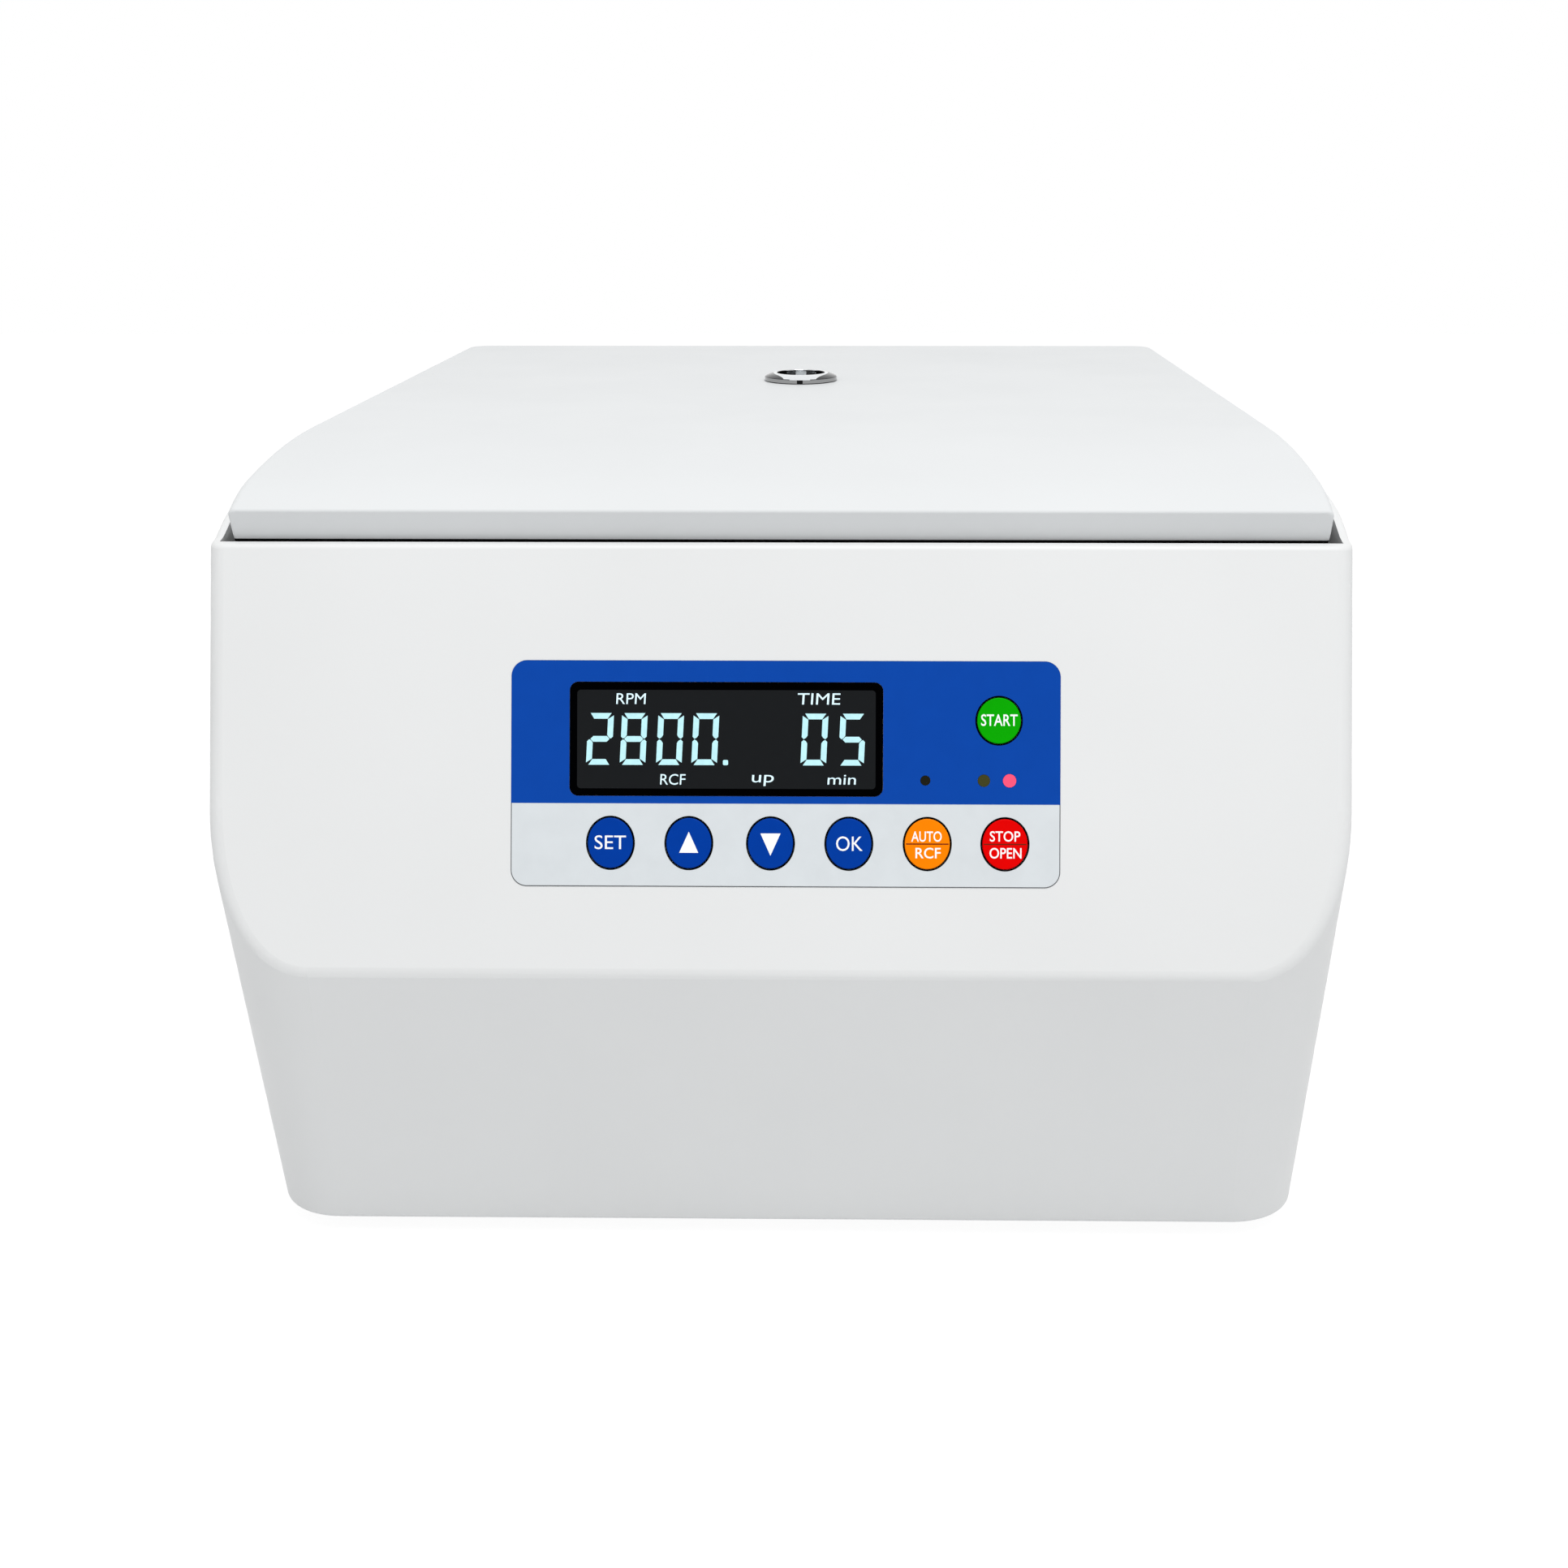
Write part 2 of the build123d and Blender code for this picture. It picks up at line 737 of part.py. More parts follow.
with BuildPart() as rear_panel:
    with BuildSketch(rear_plane):
        Rectangle(rear_panel_width, rear_panel_height)
    extrude(amount=-rear_panel_thickness)
    fillet(rear_panel.edges().filter_by(Axis.Y), rear_panel_corner)
    with BuildSketch(rear_plane):
        with Locations(*rear_screw_places):
            Circle(screw_radius + screw_gap)
        with Locations((-fan_x, fan_z - rear_centre_z)):
            Circle(fan_bore_radius)
            with GridLocations(fan_hole_pitch, fan_hole_pitch, 2, 2):
                Circle(screw_radius + screw_gap)
        with Locations((-inlet_x, inlet_z - rear_centre_z)):
            Rectangle(inlet_body_width + 2 * seat_gap, inlet_body_height + 2 * seat_gap)
        with Locations((0, 0)):
            with GridLocations(slot_pitch, slot_length + slot_pitch, rear_slot_count, rear_slot_rows):
                SlotOverall(slot_length, slot_width, rotation=90)
    extrude(amount=-rear_panel_thickness, mode=Mode.SUBTRACT)
rear_panel.part.label = "rear_panel"
export_step(rear_panel.part, "parts/rear_panel.step")

bracket_foot_places = [(side * bracket_foot_x, bracket_foot_y) for side in (-1, 1)]
with BuildPart() as deck_plate:
    add(body_form(shell_wall + fit_gap, deck_bottom, deck_height))
    with BuildSketch(Plane.XY.offset(deck_height)):
        with Locations(*deck_screw_places, *bracket_foot_places):
            Circle(screw_radius + screw_gap)
        with Locations(spin_centre):
            Circle(bowl_outer + seat_gap)
        with Locations((0, striker_y)):
            Rectangle(latch_slot_width, latch_slot_depth)
    extrude(amount=-deck_thickness, mode=Mode.SUBTRACT)
deck_plate.part.label = "deck_plate"
export_step(deck_plate.part, "parts/deck_plate.step")

# ---------------------------------------------------------------- rotor chamber
spin_section = Plane.XZ.offset(-spin_y)
spin_axis = Axis((0, spin_y, 0), (0, 0, 1))
flange_top = deck_height + bowl_flange_thickness

with BuildPart() as bowl:
    with BuildSketch(spin_section) as bowl_section:
        with BuildLine():
            Polyline(
                (bowl_hole_radius, bowl_floor - bowl_wall),
                (bowl_outer, bowl_floor - bowl_wall),
                (bowl_outer, deck_height),
                (flange_outer, deck_height),
                (flange_outer, flange_top),
                (bowl_radius, flange_top),
                (bowl_radius, bowl_floor),
                (bowl_hole_radius + bowl_wall, bowl_floor),
                (bowl_hole_radius + bowl_wall, bowl_floor + bowl_collar),
                (bowl_hole_radius, bowl_floor + bowl_collar),
                close=True,
            )
        make_face()
        lower_outer = bowl_section.vertices().sort_by_distance((bowl_outer, bowl_floor - bowl_wall))[0]
        fillet(lower_outer, bowl_bottom_round + bowl_wall)
        lower_inner = bowl_section.vertices().sort_by_distance((bowl_radius, bowl_floor))[0]
        fillet(lower_inner, bowl_bottom_round)
    revolve(axis=spin_axis)
bowl.part.label = "bowl"
export_step(bowl.part, "parts/bowl.step")

with BuildPart() as bowl_gasket:
    with BuildSketch(spin_section) as gasket_section:
        with Locations((bowl_outer + gasket_width / 2, (flange_top + liner_height - fit_gap) / 2)):
            Rectangle(gasket_width, liner_height - fit_gap - flange_top)
        fillet(gasket_section.vertices().group_by(Axis.Y)[-1], gasket_width / 3)
    revolve(axis=spin_axis)
bowl_gasket.part.label = "bowl_gasket"
export_step(bowl_gasket.part, "parts/bowl_gasket.step")

# ---------------------------------------------------------------- lid
roof_plane = Plane(
    origin=(0, sight_y, roof_height_at(sight_y)),
    x_dir=(1, 0, 0),
    z_dir=(0, -sin(radians(roof_slope)), cos(radians(roof_slope))),
)
sight_spigot_radius = sight_opening_radius + sight_wall
liner_top = liner_height + liner_thickness
lid_boss_places = [(side * lid_boss_x, y) for side in (-1, 1) for y in (lid_boss_front_y, lid_boss_rear_y)]

with BuildPart() as lid_shell:
    add(lid_form(0, lid_skirt))
    top_faces = lid_shell.faces().filter_by(lambda face: face.normal_at().Z > 0.8)
    top_across = top_faces.edges().filter_by(Axis.X).sort_by(Axis.Y)
    top_along = top_faces.edges().filter_by(Axis.X, reverse=True)
    fillet([top_across[-1]] + top_along, lid_edge_round)
    lip_edges = lid_shell.edges().filter_by(Axis.X).filter_by(
        lambda edge: abs(edge.center().Z - lip_z) < overrun
    )
    fillet(lip_edges.sort_by(Axis.Y)[0], lip_edge_round)
    add(lid_form(lid_wall, lid_skirt + lid_wall + overrun), mode=Mode.SUBTRACT)
    # the skirt's sides draw in towards their lower edge at the front
    for side in (-1, 1):
        with BuildSketch(Plane.XZ.offset(-lid_rear_y)):
            with BuildLine():
                Polyline(
                    (side * lid_half_width, lip_z - lid_skirt + skirt_taper_height),
                    (side * (lid_half_width + overrun), lip_z - lid_skirt + skirt_taper_height),
                    (side * (lid_half_width + overrun), lip_z - lid_skirt - overrun),
                    (side * (lid_half_width - skirt_taper), lip_z - lid_skirt - overrun),
                    close=True,
                )
            make_face()
        extrude(amount=lid_rear_y - lip_y + overrun, mode=Mode.SUBTRACT)
    # screw bosses for the liner
    for boss_x_place, boss_y in lid_boss_places:
        with BuildSketch(Plane.XY.offset(liner_top)):
            with Locations((boss_x_place, boss_y)):
                Circle(boss_radius)
        extrude(amount=roof_height_at(boss_y) - lid_wall / 2 - liner_top)
        with BuildSketch(Plane.XY.offset(liner_top)):
            with Locations((boss_x_place, boss_y)):
                Circle(screw_radius + screw_gap)
        extrude(amount=boss_height / 2, mode=Mode.SUBTRACT)
    # seat of the sight glass
    with BuildSketch(roof_plane):
        Circle(sight_spigot_radius + seat_gap)
    extrude(amount=-2 * lid_wall, mode=Mode.SUBTRACT)
lid_shell.part.label = "lid_shell"
export_step(lid_shell.part, "parts/lid_shell.step")

with BuildPart() as lid_liner:
    with BuildSketch(Plane.XY.offset(liner_height)):
        with Locations((0, (liner_front_y + liner_rear_y) / 2)):
            RectangleRounded(2 * liner_half_width, liner_rear_y - liner_front_y, liner_corner)
    extrude(amount=liner_depth)
    with BuildSketch(Plane.XY.offset(liner_top)):
        with Locations((0, (liner_front_y + liner_rear_y) / 2)):
            RectangleRounded(
                2 * (liner_half_width - liner_thickness),
                liner_rear_y - liner_front_y - 2 * liner_thickness,
                liner_corner - liner_thickness,
            )
    extrude(amount=liner_depth, mode=Mode.SUBTRACT)
    # sight tube up to the roof
    with BuildSketch(Plane.XY.offset(liner_height)):
        with Locations((0, sight_y)):
            Circle(sight_spigot_radius + sight_tube_gap + liner_thickness)
    extrude(amount=liner_depth)
    with BuildSketch(Plane.XY.offset(liner_height)):
        with Locations((0, sight_y)):
            Circle(sight_spigot_radius + sight_tube_gap)
    extrude(amount=liner_depth, mode=Mode.SUBTRACT)
    with BuildSketch(Plane.XY.offset(liner_height)):
        with Locations(*lid_boss_places):
            Circle(screw_radius + screw_gap)
    extrude(amount=liner_thickness, mode=Mode.SUBTRACT)
    add(lid_form(lid_wall + seat_gap, liner_depth), mode=Mode.INTERSECT)
lid_liner.part.label = "lid_liner"
export_step(lid_liner.part, "parts/lid_liner.step")

with BuildPart() as lid_screws:
    for boss_place in lid_boss_places:
        add(screw(Plane(origin=(*boss_place, liner_height), z_dir=(0, 0, -1)), screw_length))
lid_screws.part.label = "lid_screws"
export_step(lid_screws.part, "parts/lid_screws.step")

sight_crest_edge = (sight_opening_radius + sight_crest, sight_ring_height)
sight_band_edge = (sight_flange_radius - sight_band_bevel, sight_band_height)
sight_slope_middle = (
    (sight_crest_edge[0] + sight_band_edge[0]) / 2,
    (sight_crest_edge[1] + sight_band_edge[1]) / 2 + sight_bulge,
)
roof_section = Plane(origin=roof_plane.origin, x_dir=(1, 0, 0), z_dir=-roof_plane.y_dir)
roof_axis = Axis(roof_plane.origin, roof_plane.z_dir)
with BuildPart() as sight_ring:
    with BuildSketch(roof_section):
        with BuildLine():
            Polyline(
                sight_crest_edge,
                (sight_opening_radius, sight_ring_height),
                (sight_opening_radius, -lid_wall),
                (sight_spigot_radius, -lid_wall),
                (sight_spigot_radius, 0),
                (sight_flange_radius - sight_foot_inset, 0),
                (sight_flange_radius - sight_foot_inset, sight_foot_height),
                (sight_flange_radius, sight_foot_height),
                (sight_flange_radius, sight_band_height - sight_band_bevel),
                sight_band_edge,
            )
            ThreePointArc(sight_band_edge, sight_slope_middle, sight_crest_edge)
        make_face()
        crest_corners = [
            vertex for vertex in vertices() if abs(vertex.Y - sight_ring_height) < sight_crest_round
        ]
        fillet(crest_corners, sight_crest_round)
    revolve(axis=roof_axis)
sight_ring.part.label = "sight_ring"
export_step(sight_ring.part, "parts/sight_ring.step")

with BuildPart() as sight_window:
    with BuildSketch(roof_plane.offset(-lid_wall)):
        Circle(sight_opening_radius - seat_gap)
    extrude(amount=lid_wall + sight_window_rise)
    fillet(sight_window.edges().filter_by(GeomType.CIRCLE).sort_by(Axis.Z)[-1], sight_window_round)
sight_window.part.label = "sight_window"
export_step(sight_window.part, "parts/sight_window.step")

# ---------------------------------------------------------------- lid hinge
with BuildPart() as hinge_brackets:
    for side in (-1, 1):
        with BuildSketch(Plane.YZ.offset(side * bracket_x)):
            with Locations((hinge_y, hinge_z)):
                Circle(hinge_eye_radius)
            with BuildLine():
                Polyline(
                    (hinge_y, hinge_z - hinge_neck_drop),
                    (neck_rear_y, hinge_z - hinge_neck_drop),
                    (neck_rear_y, deck_height),
                    (neck_front_y, deck_height),
                    (neck_front_y, hinge_z + hinge_neck_drop / 2),
                    (hinge_y, hinge_z + hinge_neck_drop),
                    close=True,
                )
            make_face()
            with Locations((hinge_y, hinge_z)):
                Circle(hinge_pin_radius + running_gap, mode=Mode.SUBTRACT)
        extrude(amount=hinge_plate / 2, both=True)
        with BuildSketch(Plane.XY.offset(deck_height)):
            with Locations((side * bracket_foot_x, bracket_foot_y)):
                Rectangle(bracket_foot_width, neck_rear_y - neck_front_y)
        extrude(amount=hinge_plate / 2)
    with BuildSketch(Plane.XY.offset(deck_height)):
        with Locations(*bracket_foot_places):
            Circle(screw_radius + screw_gap)
    extrude(amount=hinge_plate / 2, mode=Mode.SUBTRACT)
hinge_brackets.part.label = "hinge_brackets"
export_step(hinge_brackets.part, "parts/hinge_brackets.step")

arm_x = bracket_x + hinge_plate + hinge_side_gap
with BuildPart() as hinge_arms:
    for side in (-1, 1):
        with BuildSketch(Plane.YZ.offset(side * arm_x)):
            with Locations((hinge_y, hinge_z)):
                Circle(hinge_eye_radius)
            with BuildLine():
                Polyline(
                    (hinge_y + hinge_neck_drop, hinge_z),
                    (hinge_y + hinge_neck_drop, ceiling_at(hinge_y + hinge_neck_drop)),
                    (arm_front_y, ceiling_at(arm_front_y)),
                    (arm_front_y, ceiling_at(arm_front_y) - hinge_plate),
                    (hinge_y, hinge_z - hinge_neck_drop),
                    close=True,
                )
            make_face()
            with Locations((hinge_y, hinge_z)):
                Circle(hinge_pin_radius + running_gap, mode=Mode.SUBTRACT)
        extrude(amount=hinge_plate / 2, both=True)
        # flange bonded to the underside of the roof
        with BuildSketch(Plane.YZ.offset(side * arm_x)):
            with BuildLine():
                Polyline(
                    (hinge_y, ceiling_at(hinge_y)),
                    (arm_front_y, ceiling_at(arm_front_y)),
                    (arm_front_y, ceiling_at(arm_front_y) - hinge_plate / 2),
                    (hinge_y, ceiling_at(hinge_y) - hinge_plate / 2),
                    close=True,
                )
            make_face()
        extrude(amount=side * arm_flange_width)
hinge_arms.part.label = "hinge_arms"
export_step(hinge_arms.part, "parts/hinge_arms.step")

pin_start = bracket_x - hinge_plate / 2 - hinge_pin_proud
pin_end = arm_x + hinge_plate / 2 + hinge_pin_proud
with BuildPart() as hinge_pins:
    for side in (-1, 1):
        with BuildSketch(Plane.YZ.offset(side * pin_start)):
            with Locations((hinge_y, hinge_z)):
                Circle(hinge_pin_radius)
        extrude(amount=side * (pin_end - pin_start))
    chamfer(hinge_pins.edges().filter_by(GeomType.CIRCLE), hinge_pin_chamfer)
hinge_pins.part.label = "hinge_pins"
export_step(hinge_pins.part, "parts/hinge_pins.step")

# ---------------------------------------------------------------- lid latch
striker_plate_bottom = liner_height - striker_plate
with BuildPart() as lid_striker:
    with BuildLine(Plane.XZ.offset(-striker_y)) as loop_path:
        FilletPolyline(
            (-striker_half_width, striker_plate_bottom + overrun),
            (-striker_half_width, striker_bar_z),
            (striker_half_width, striker_bar_z),
            (striker_half_width, striker_plate_bottom + overrun),
            radius=striker_bend,
        )
    with BuildSketch(Plane(origin=loop_path.line @ 0, z_dir=loop_path.line % 0)):
        Circle(striker_radius)
    sweep()
    with BuildSketch(Plane.XY.offset(liner_height)):
        with Locations((0, striker_y)):
            RectangleRounded(striker_plate_width, striker_plate_depth, striker_plate_round)
    extrude(amount=-striker_plate)
lid_striker.part.label = "lid_striker"
export_step(lid_striker.part, "parts/lid_striker.step")

# The pawl's own frame turns about its pivot; it is let go by the release angle at rest.
pawl_pivot = (0, pawl_y, pawl_z)
release = radians(pawl_release)
pawl_plane = Plane(origin=pawl_pivot, x_dir=(0, cos(release), -sin(release)), z_dir=(1, 0, 0))
bar_y = striker_y - pawl_y
bar_z = striker_bar_z - pawl_z
hook_under = bar_z + striker_radius + hook_play
hook_back = bar_y + striker_radius + hook_play
frame_inner = striker_half_width + striker_radius + frame_side_gap
frame_outer = frame_inner + latch_sheet
link_y = pawl_y - pawl_link * release

with BuildPart() as latch_pawl:
    with BuildSketch(pawl_plane):
        with BuildLine():
            Polyline(
                (-pawl_hub, 0),
                (hook_back, hook_under - hook_beak),
                (hook_back, hook_under),
                (bar_y - hook_reach, hook_under),
                (bar_y - hook_reach, hook_under + hook_tip),
                (hook_back + hook_back_width, hook_under + hook_height),
                (pawl_hub, 0),
                (pawl_link_width, -pawl_link - pawl_link_width),
                (-pawl_link_width, -pawl_link - pawl_link_width),
                close=True,
            )
        make_face()
        Circle(pawl_hub)
        Circle(latch_pin_radius + running_gap, mode=Mode.SUBTRACT)
        with Locations((0, -pawl_link)):
            SlotOverall(
                2 * (link_pin_radius + fit_gap) + link_slot_play,
                2 * (link_pin_radius + fit_gap),
                rotation=90,
                mode=Mode.SUBTRACT,
            )
    extrude(amount=pawl_thickness / 2, both=True)
latch_pawl.part.label = "latch_pawl"
export_step(latch_pawl.part, "parts/latch_pawl.step")

with BuildPart() as latch_frame:
    with BuildSketch(Plane.XY.offset(deck_bottom)):
        with Locations((0, (frame_front_y + frame_rear_y) / 2)):
            Rectangle(2 * frame_outer + 2 * frame_wing, frame_rear_y - frame_front_y)
        with Locations((0, striker_y)):
            Rectangle(latch_slot_width, latch_slot_depth, mode=Mode.SUBTRACT)
    extrude(amount=-latch_sheet)
    for side in (-1, 1):
        with BuildSketch(Plane.XY.offset(deck_bottom)):
            with Locations((side * (frame_inner + latch_sheet / 2), (frame_front_y + frame_rear_y) / 2)):
                Rectangle(latch_sheet, frame_rear_y - frame_front_y)
        extrude(amount=-frame_drop)
    with BuildSketch(Plane.YZ):
        with Locations((pawl_y, pawl_z)):
            Circle(latch_pin_radius + running_gap)
    extrude(amount=frame_outer + overrun, both=True, mode=Mode.SUBTRACT)
latch_frame.part.label = "latch_frame"
export_step(latch_frame.part, "parts/latch_frame.step")

with BuildPart() as latch_pivot_pin:
    with BuildSketch(Plane.YZ):
        with Locations((pawl_y, pawl_z)):
            Circle(latch_pin_radius)
    extrude(amount=frame_outer + hinge_pin_proud, both=True)
latch_pivot_pin.part.label = "latch_pivot_pin"
export_step(latch_pivot_pin.part, "parts/latch_pivot_pin.step")

link_z = pawl_z - pawl_link
fork_inner = pawl_thickness / 2 + fit_gap
fork_outer = fork_inner + latch_sheet
with BuildPart() as latch_plunger:
    for side in (-1, 1):
        with BuildSketch(Plane.YZ.offset(side * fork_inner)):
            with Locations(((link_y + fork_rear_y) / 2, link_z)):
                RectangleRounded(fork_rear_y - link_y + 2 * fork_end, fork_height, fork_round)
        extrude(amount=side * latch_sheet)
    with BuildSketch(Plane.YZ):
        with Locations((link_y, link_z)):
            Circle(link_pin_radius)
    extrude(amount=fork_outer, both=True)
    with BuildSketch(Plane.XZ.offset(-fork_rear_y)):
        with Locations((0, link_z)):
            Rectangle(2 * fork_outer, fork_height)
    extrude(amount=-fork_end)
    with BuildSketch(Plane.XZ.offset(-fork_rear_y)):
        with Locations((0, link_z)):
            Circle(plunger_radius)
    extrude(amount=-plunger_length)
latch_plunger.part.label = "latch_plunger"
export_step(latch_plunger.part, "parts/latch_plunger.step")

with BuildPart() as latch_solenoid:
    with BuildSketch(Plane.XZ.offset(-solenoid_front_y)):
        with Locations((0, link_z)):
            RectangleRounded(2 * (frame_inner - seat_gap), solenoid_height, solenoid_round)
            Circle(plunger_radius + fit_gap, mode=Mode.SUBTRACT)
    extrude(amount=-solenoid_length)
latch_solenoid.part.label = "latch_solenoid"
export_step(latch_solenoid.part, "parts/latch_solenoid.step")

switch_top_z = deck_bottom - latch_sheet - seat_gap
lever_z = switch_top_z - switch_body - lever_length / 2 + overrun
with BuildPart() as lid_switch:
    with BuildSketch(Plane.YZ.offset(frame_outer)):
        with Locations((striker_y + switch_offset, switch_top_z - switch_body / 2)):
            RectangleRounded(2 * switch_body, switch_body, switch_round)
    extrude(amount=switch_depth)
    with BuildSketch(Plane.YZ.offset(frame_outer + lever_width)):
        with Locations((striker_y + switch_offset, lever_z)):
            Rectangle(lever_thickness, lever_length)
    extrude(amount=lever_width)
lid_switch.part.label = "lid_switch"
export_step(lid_switch.part, "parts/lid_switch.step")

# ---------------------------------------------------------------- rotor and buckets
bucket_half_x = plate_pocket_width / 2 + bucket_wall
bucket_half_y = plate_pocket_length / 2 + bucket_wall
bucket_top = pivot_z + pivot_below_rim
bucket_bottom = bucket_top - bucket_height
boss_end_y = bucket_half_y + trunnion_boss_length
bar_inner_y = boss_end_y + yoke_gap
bar_outer_y = bar_inner_y + yoke_bar
bar_half_x = pivot_x + yoke_overhang
hub_bottom = pivot_z - hub_height / 2
hub_top = pivot_z + hub_height / 2
relief_length = bar_inner_y - hub_radius - 2 * relief_end_rib
sides = {"left": -1, "right": 1}

for side_name, side in sides.items():
    with BuildPart() as bucket:
        with BuildSketch(Plane.XY.offset(bucket_bottom)):
            with Locations((side * pivot_x, spin_y)):
                RectangleRounded(2 * bucket_half_x, 2 * bucket_half_y, bucket_corner)
        extrude(amount=bucket_height)
        with BuildSketch(Plane.XY.offset(bucket_bottom + bucket_wall)):
            with Locations((side * pivot_x, spin_y)):
                RectangleRounded(plate_pocket_width, plate_pocket_length, pocket_corner)
        extrude(amount=bucket_height, mode=Mode.SUBTRACT)
        # finger notches in the long walls, for lifting the plate out
        with BuildSketch(Plane.YZ):
            with Locations((spin_y, bucket_top)):
                SlotOverall(notch_length, 2 * notch_depth)
        extrude(amount=side * 2 * pivot_x, mode=Mode.SUBTRACT)
        # bosses that turn on the yoke's pins
        for end in (-1, 1):
            boss_plane = Plane.XZ.offset(-spin_y - end * (bucket_half_y - bucket_wall / 2))
            with BuildSketch(boss_plane):
                with Locations((side * pivot_x, pivot_z - boss_drop)):
                    Circle(trunnion_boss_radius - boss_drop)
            extrude(amount=-end * (trunnion_boss_length + bucket_wall / 2))
            with BuildSketch(Plane.XZ.offset(-spin_y - end * bucket_half_y)):
                with Locations((side * pivot_x, pivot_z)):
                    Circle(trunnion_radius + running_gap)
            extrude(amount=-end * (trunnion_boss_length + overrun), mode=Mode.SUBTRACT)
    bucket.part.label = f"bucket_{side_name}"
    export_step(bucket.part, f"parts/bucket_{side_name}.step")

    with BuildPart() as bucket_pad:
        with BuildSketch(Plane.XY.offset(bucket_bottom + bucket_wall)):
            with Locations((side * pivot_x, spin_y)):
                RectangleRounded(
                    plate_pocket_width - pad_play, plate_pocket_length - pad_play, pocket_corner
                )
        extrude(amount=pad_thickness)
        with BuildSketch(Plane.XY.offset(bucket_bottom + bucket_wall + pad_thickness)):
            with Locations((side * pivot_x, spin_y)):
                with GridLocations(pad_well_pitch, pad_well_pitch, 4, 6):
                    Circle(pad_well_radius)
        extrude(amount=-pad_thickness / 2, mode=Mode.SUBTRACT)
    bucket_pad.part.label = f"bucket_pad_{side_name}"
    export_step(bucket_pad.part, f"parts/bucket_pad_{side_name}.step")

with BuildPart() as rotor_yoke:
    with BuildSketch(Plane.XY.offset(pivot_z - yoke_height / 2)):
        with Locations(spin_centre):
            Rectangle(crossbar_width, 2 * bar_outer_y)
    extrude(amount=yoke_height)
    for end in (-1, 1):
        with BuildSketch(Plane.XY.offset(pivot_z - yoke_height / 2)):
            with Locations((0, spin_y + end * (bar_inner_y + bar_outer_y) / 2)):
                Rectangle(2 * bar_half_x, yoke_bar)
        extrude(amount=yoke_height)
    tip_edges = rotor_yoke.edges().filter_by(Axis.Y).filter_by(lambda edge: abs(edge.center().X) > pivot_x)
    fillet(tip_edges, yoke_height / 3)
    with BuildSketch(Plane.XY.offset(hub_bottom)):
        with Locations(spin_centre):
            Circle(hub_radius)
    extrude(amount=hub_height)
    # relief pockets in the crossbar
    for end in (-1, 1):
        with BuildSketch(Plane.XY.offset(pivot_z + yoke_height / 2)):
            with Locations((0, spin_y + end * (hub_radius + bar_inner_y) / 2)):
                RectangleRounded(crossbar_width - 2 * crossbar_rib, relief_length, relief_corner)
        extrude(amount=-yoke_height / 2, mode=Mode.SUBTRACT)
    with BuildSketch(Plane.XY.offset(hub_bottom)):
        with Locations(spin_centre):
            Circle(spindle_tip_radius + running_gap)
    extrude(amount=hub_height, mode=Mode.SUBTRACT)
    with BuildSketch(Plane.XZ.offset(-spin_y)):
        for side in sides.values():
            with Locations((side * pivot_x, pivot_z)):
                Circle(trunnion_radius)
    extrude(amount=bar_outer_y + overrun, both=True, mode=Mode.SUBTRACT)
rotor_yoke.part.label = "rotor_yoke"
export_step(rotor_yoke.part, "parts/rotor_yoke.step")

with BuildPart() as trunnion_pins:
    for side in sides.values():
        for end in (-1, 1):
            with BuildSketch(Plane.XZ.offset(-spin_y - end * (bucket_half_y + fit_gap))):
                with Locations((side * pivot_x, pivot_z)):
                    Circle(trunnion_radius)
            extrude(amount=-end * (bar_outer_y - bucket_half_y - fit_gap))
trunnion_pins.part.label = "trunnion_pins"
export_step(trunnion_pins.part, "parts/trunnion_pins.step")

with BuildPart() as spindle:
    with BuildSketch(Plane.XY.offset(motor_bottom + can_floor + spindle_foot_gap)):
        with Locations(spin_centre):
            Circle(spindle_radius)
    extrude(amount=hub_bottom - motor_bottom - can_floor - spindle_foot_gap)
    with BuildSketch(Plane.XY.offset(hub_bottom)):
        with Locations(spin_centre):
            Circle(spindle_tip_radius)
    extrude(amount=hub_height + nut_height - nut_top_wall - nut_end_gap)
    chamfer(spindle.edges().filter_by(GeomType.CIRCLE).sort_by(Axis.Z)[-1], spindle_chamfer)
spindle.part.label = "spindle"
export_step(spindle.part, "parts/spindle.step")

with BuildPart() as rotor_nut:
    with BuildSketch(Plane.XY.offset(hub_top)):
        with Locations(spin_centre):
            Circle(nut_radius)
            with PolarLocations(nut_radius, nut_flutes):
                Circle(nut_flute_radius, mode=Mode.SUBTRACT)
    extrude(amount=nut_height)
    chamfer(rotor_nut.faces().sort_by(Axis.Z)[-1].edges(), nut_chamfer)
    with BuildSketch(Plane.XY.offset(hub_top)):
        with Locations(spin_centre):
            Circle(spindle_tip_radius + running_gap)
    extrude(amount=nut_height - nut_top_wall, mode=Mode.SUBTRACT)
rotor_nut.part.label = "rotor_nut"
export_step(rotor_nut.part, "parts/rotor_nut.step")

# ---------------------------------------------------------------- motor
bearing_low = motor_bottom + 2 * can_floor
motor_bore = spindle_radius + bearing_race
cap_bottom = motor_top - cap_thickness
bearing_high = motor_top - can_floor - bearing_width
cup_radius = bearing_radius + can_wall

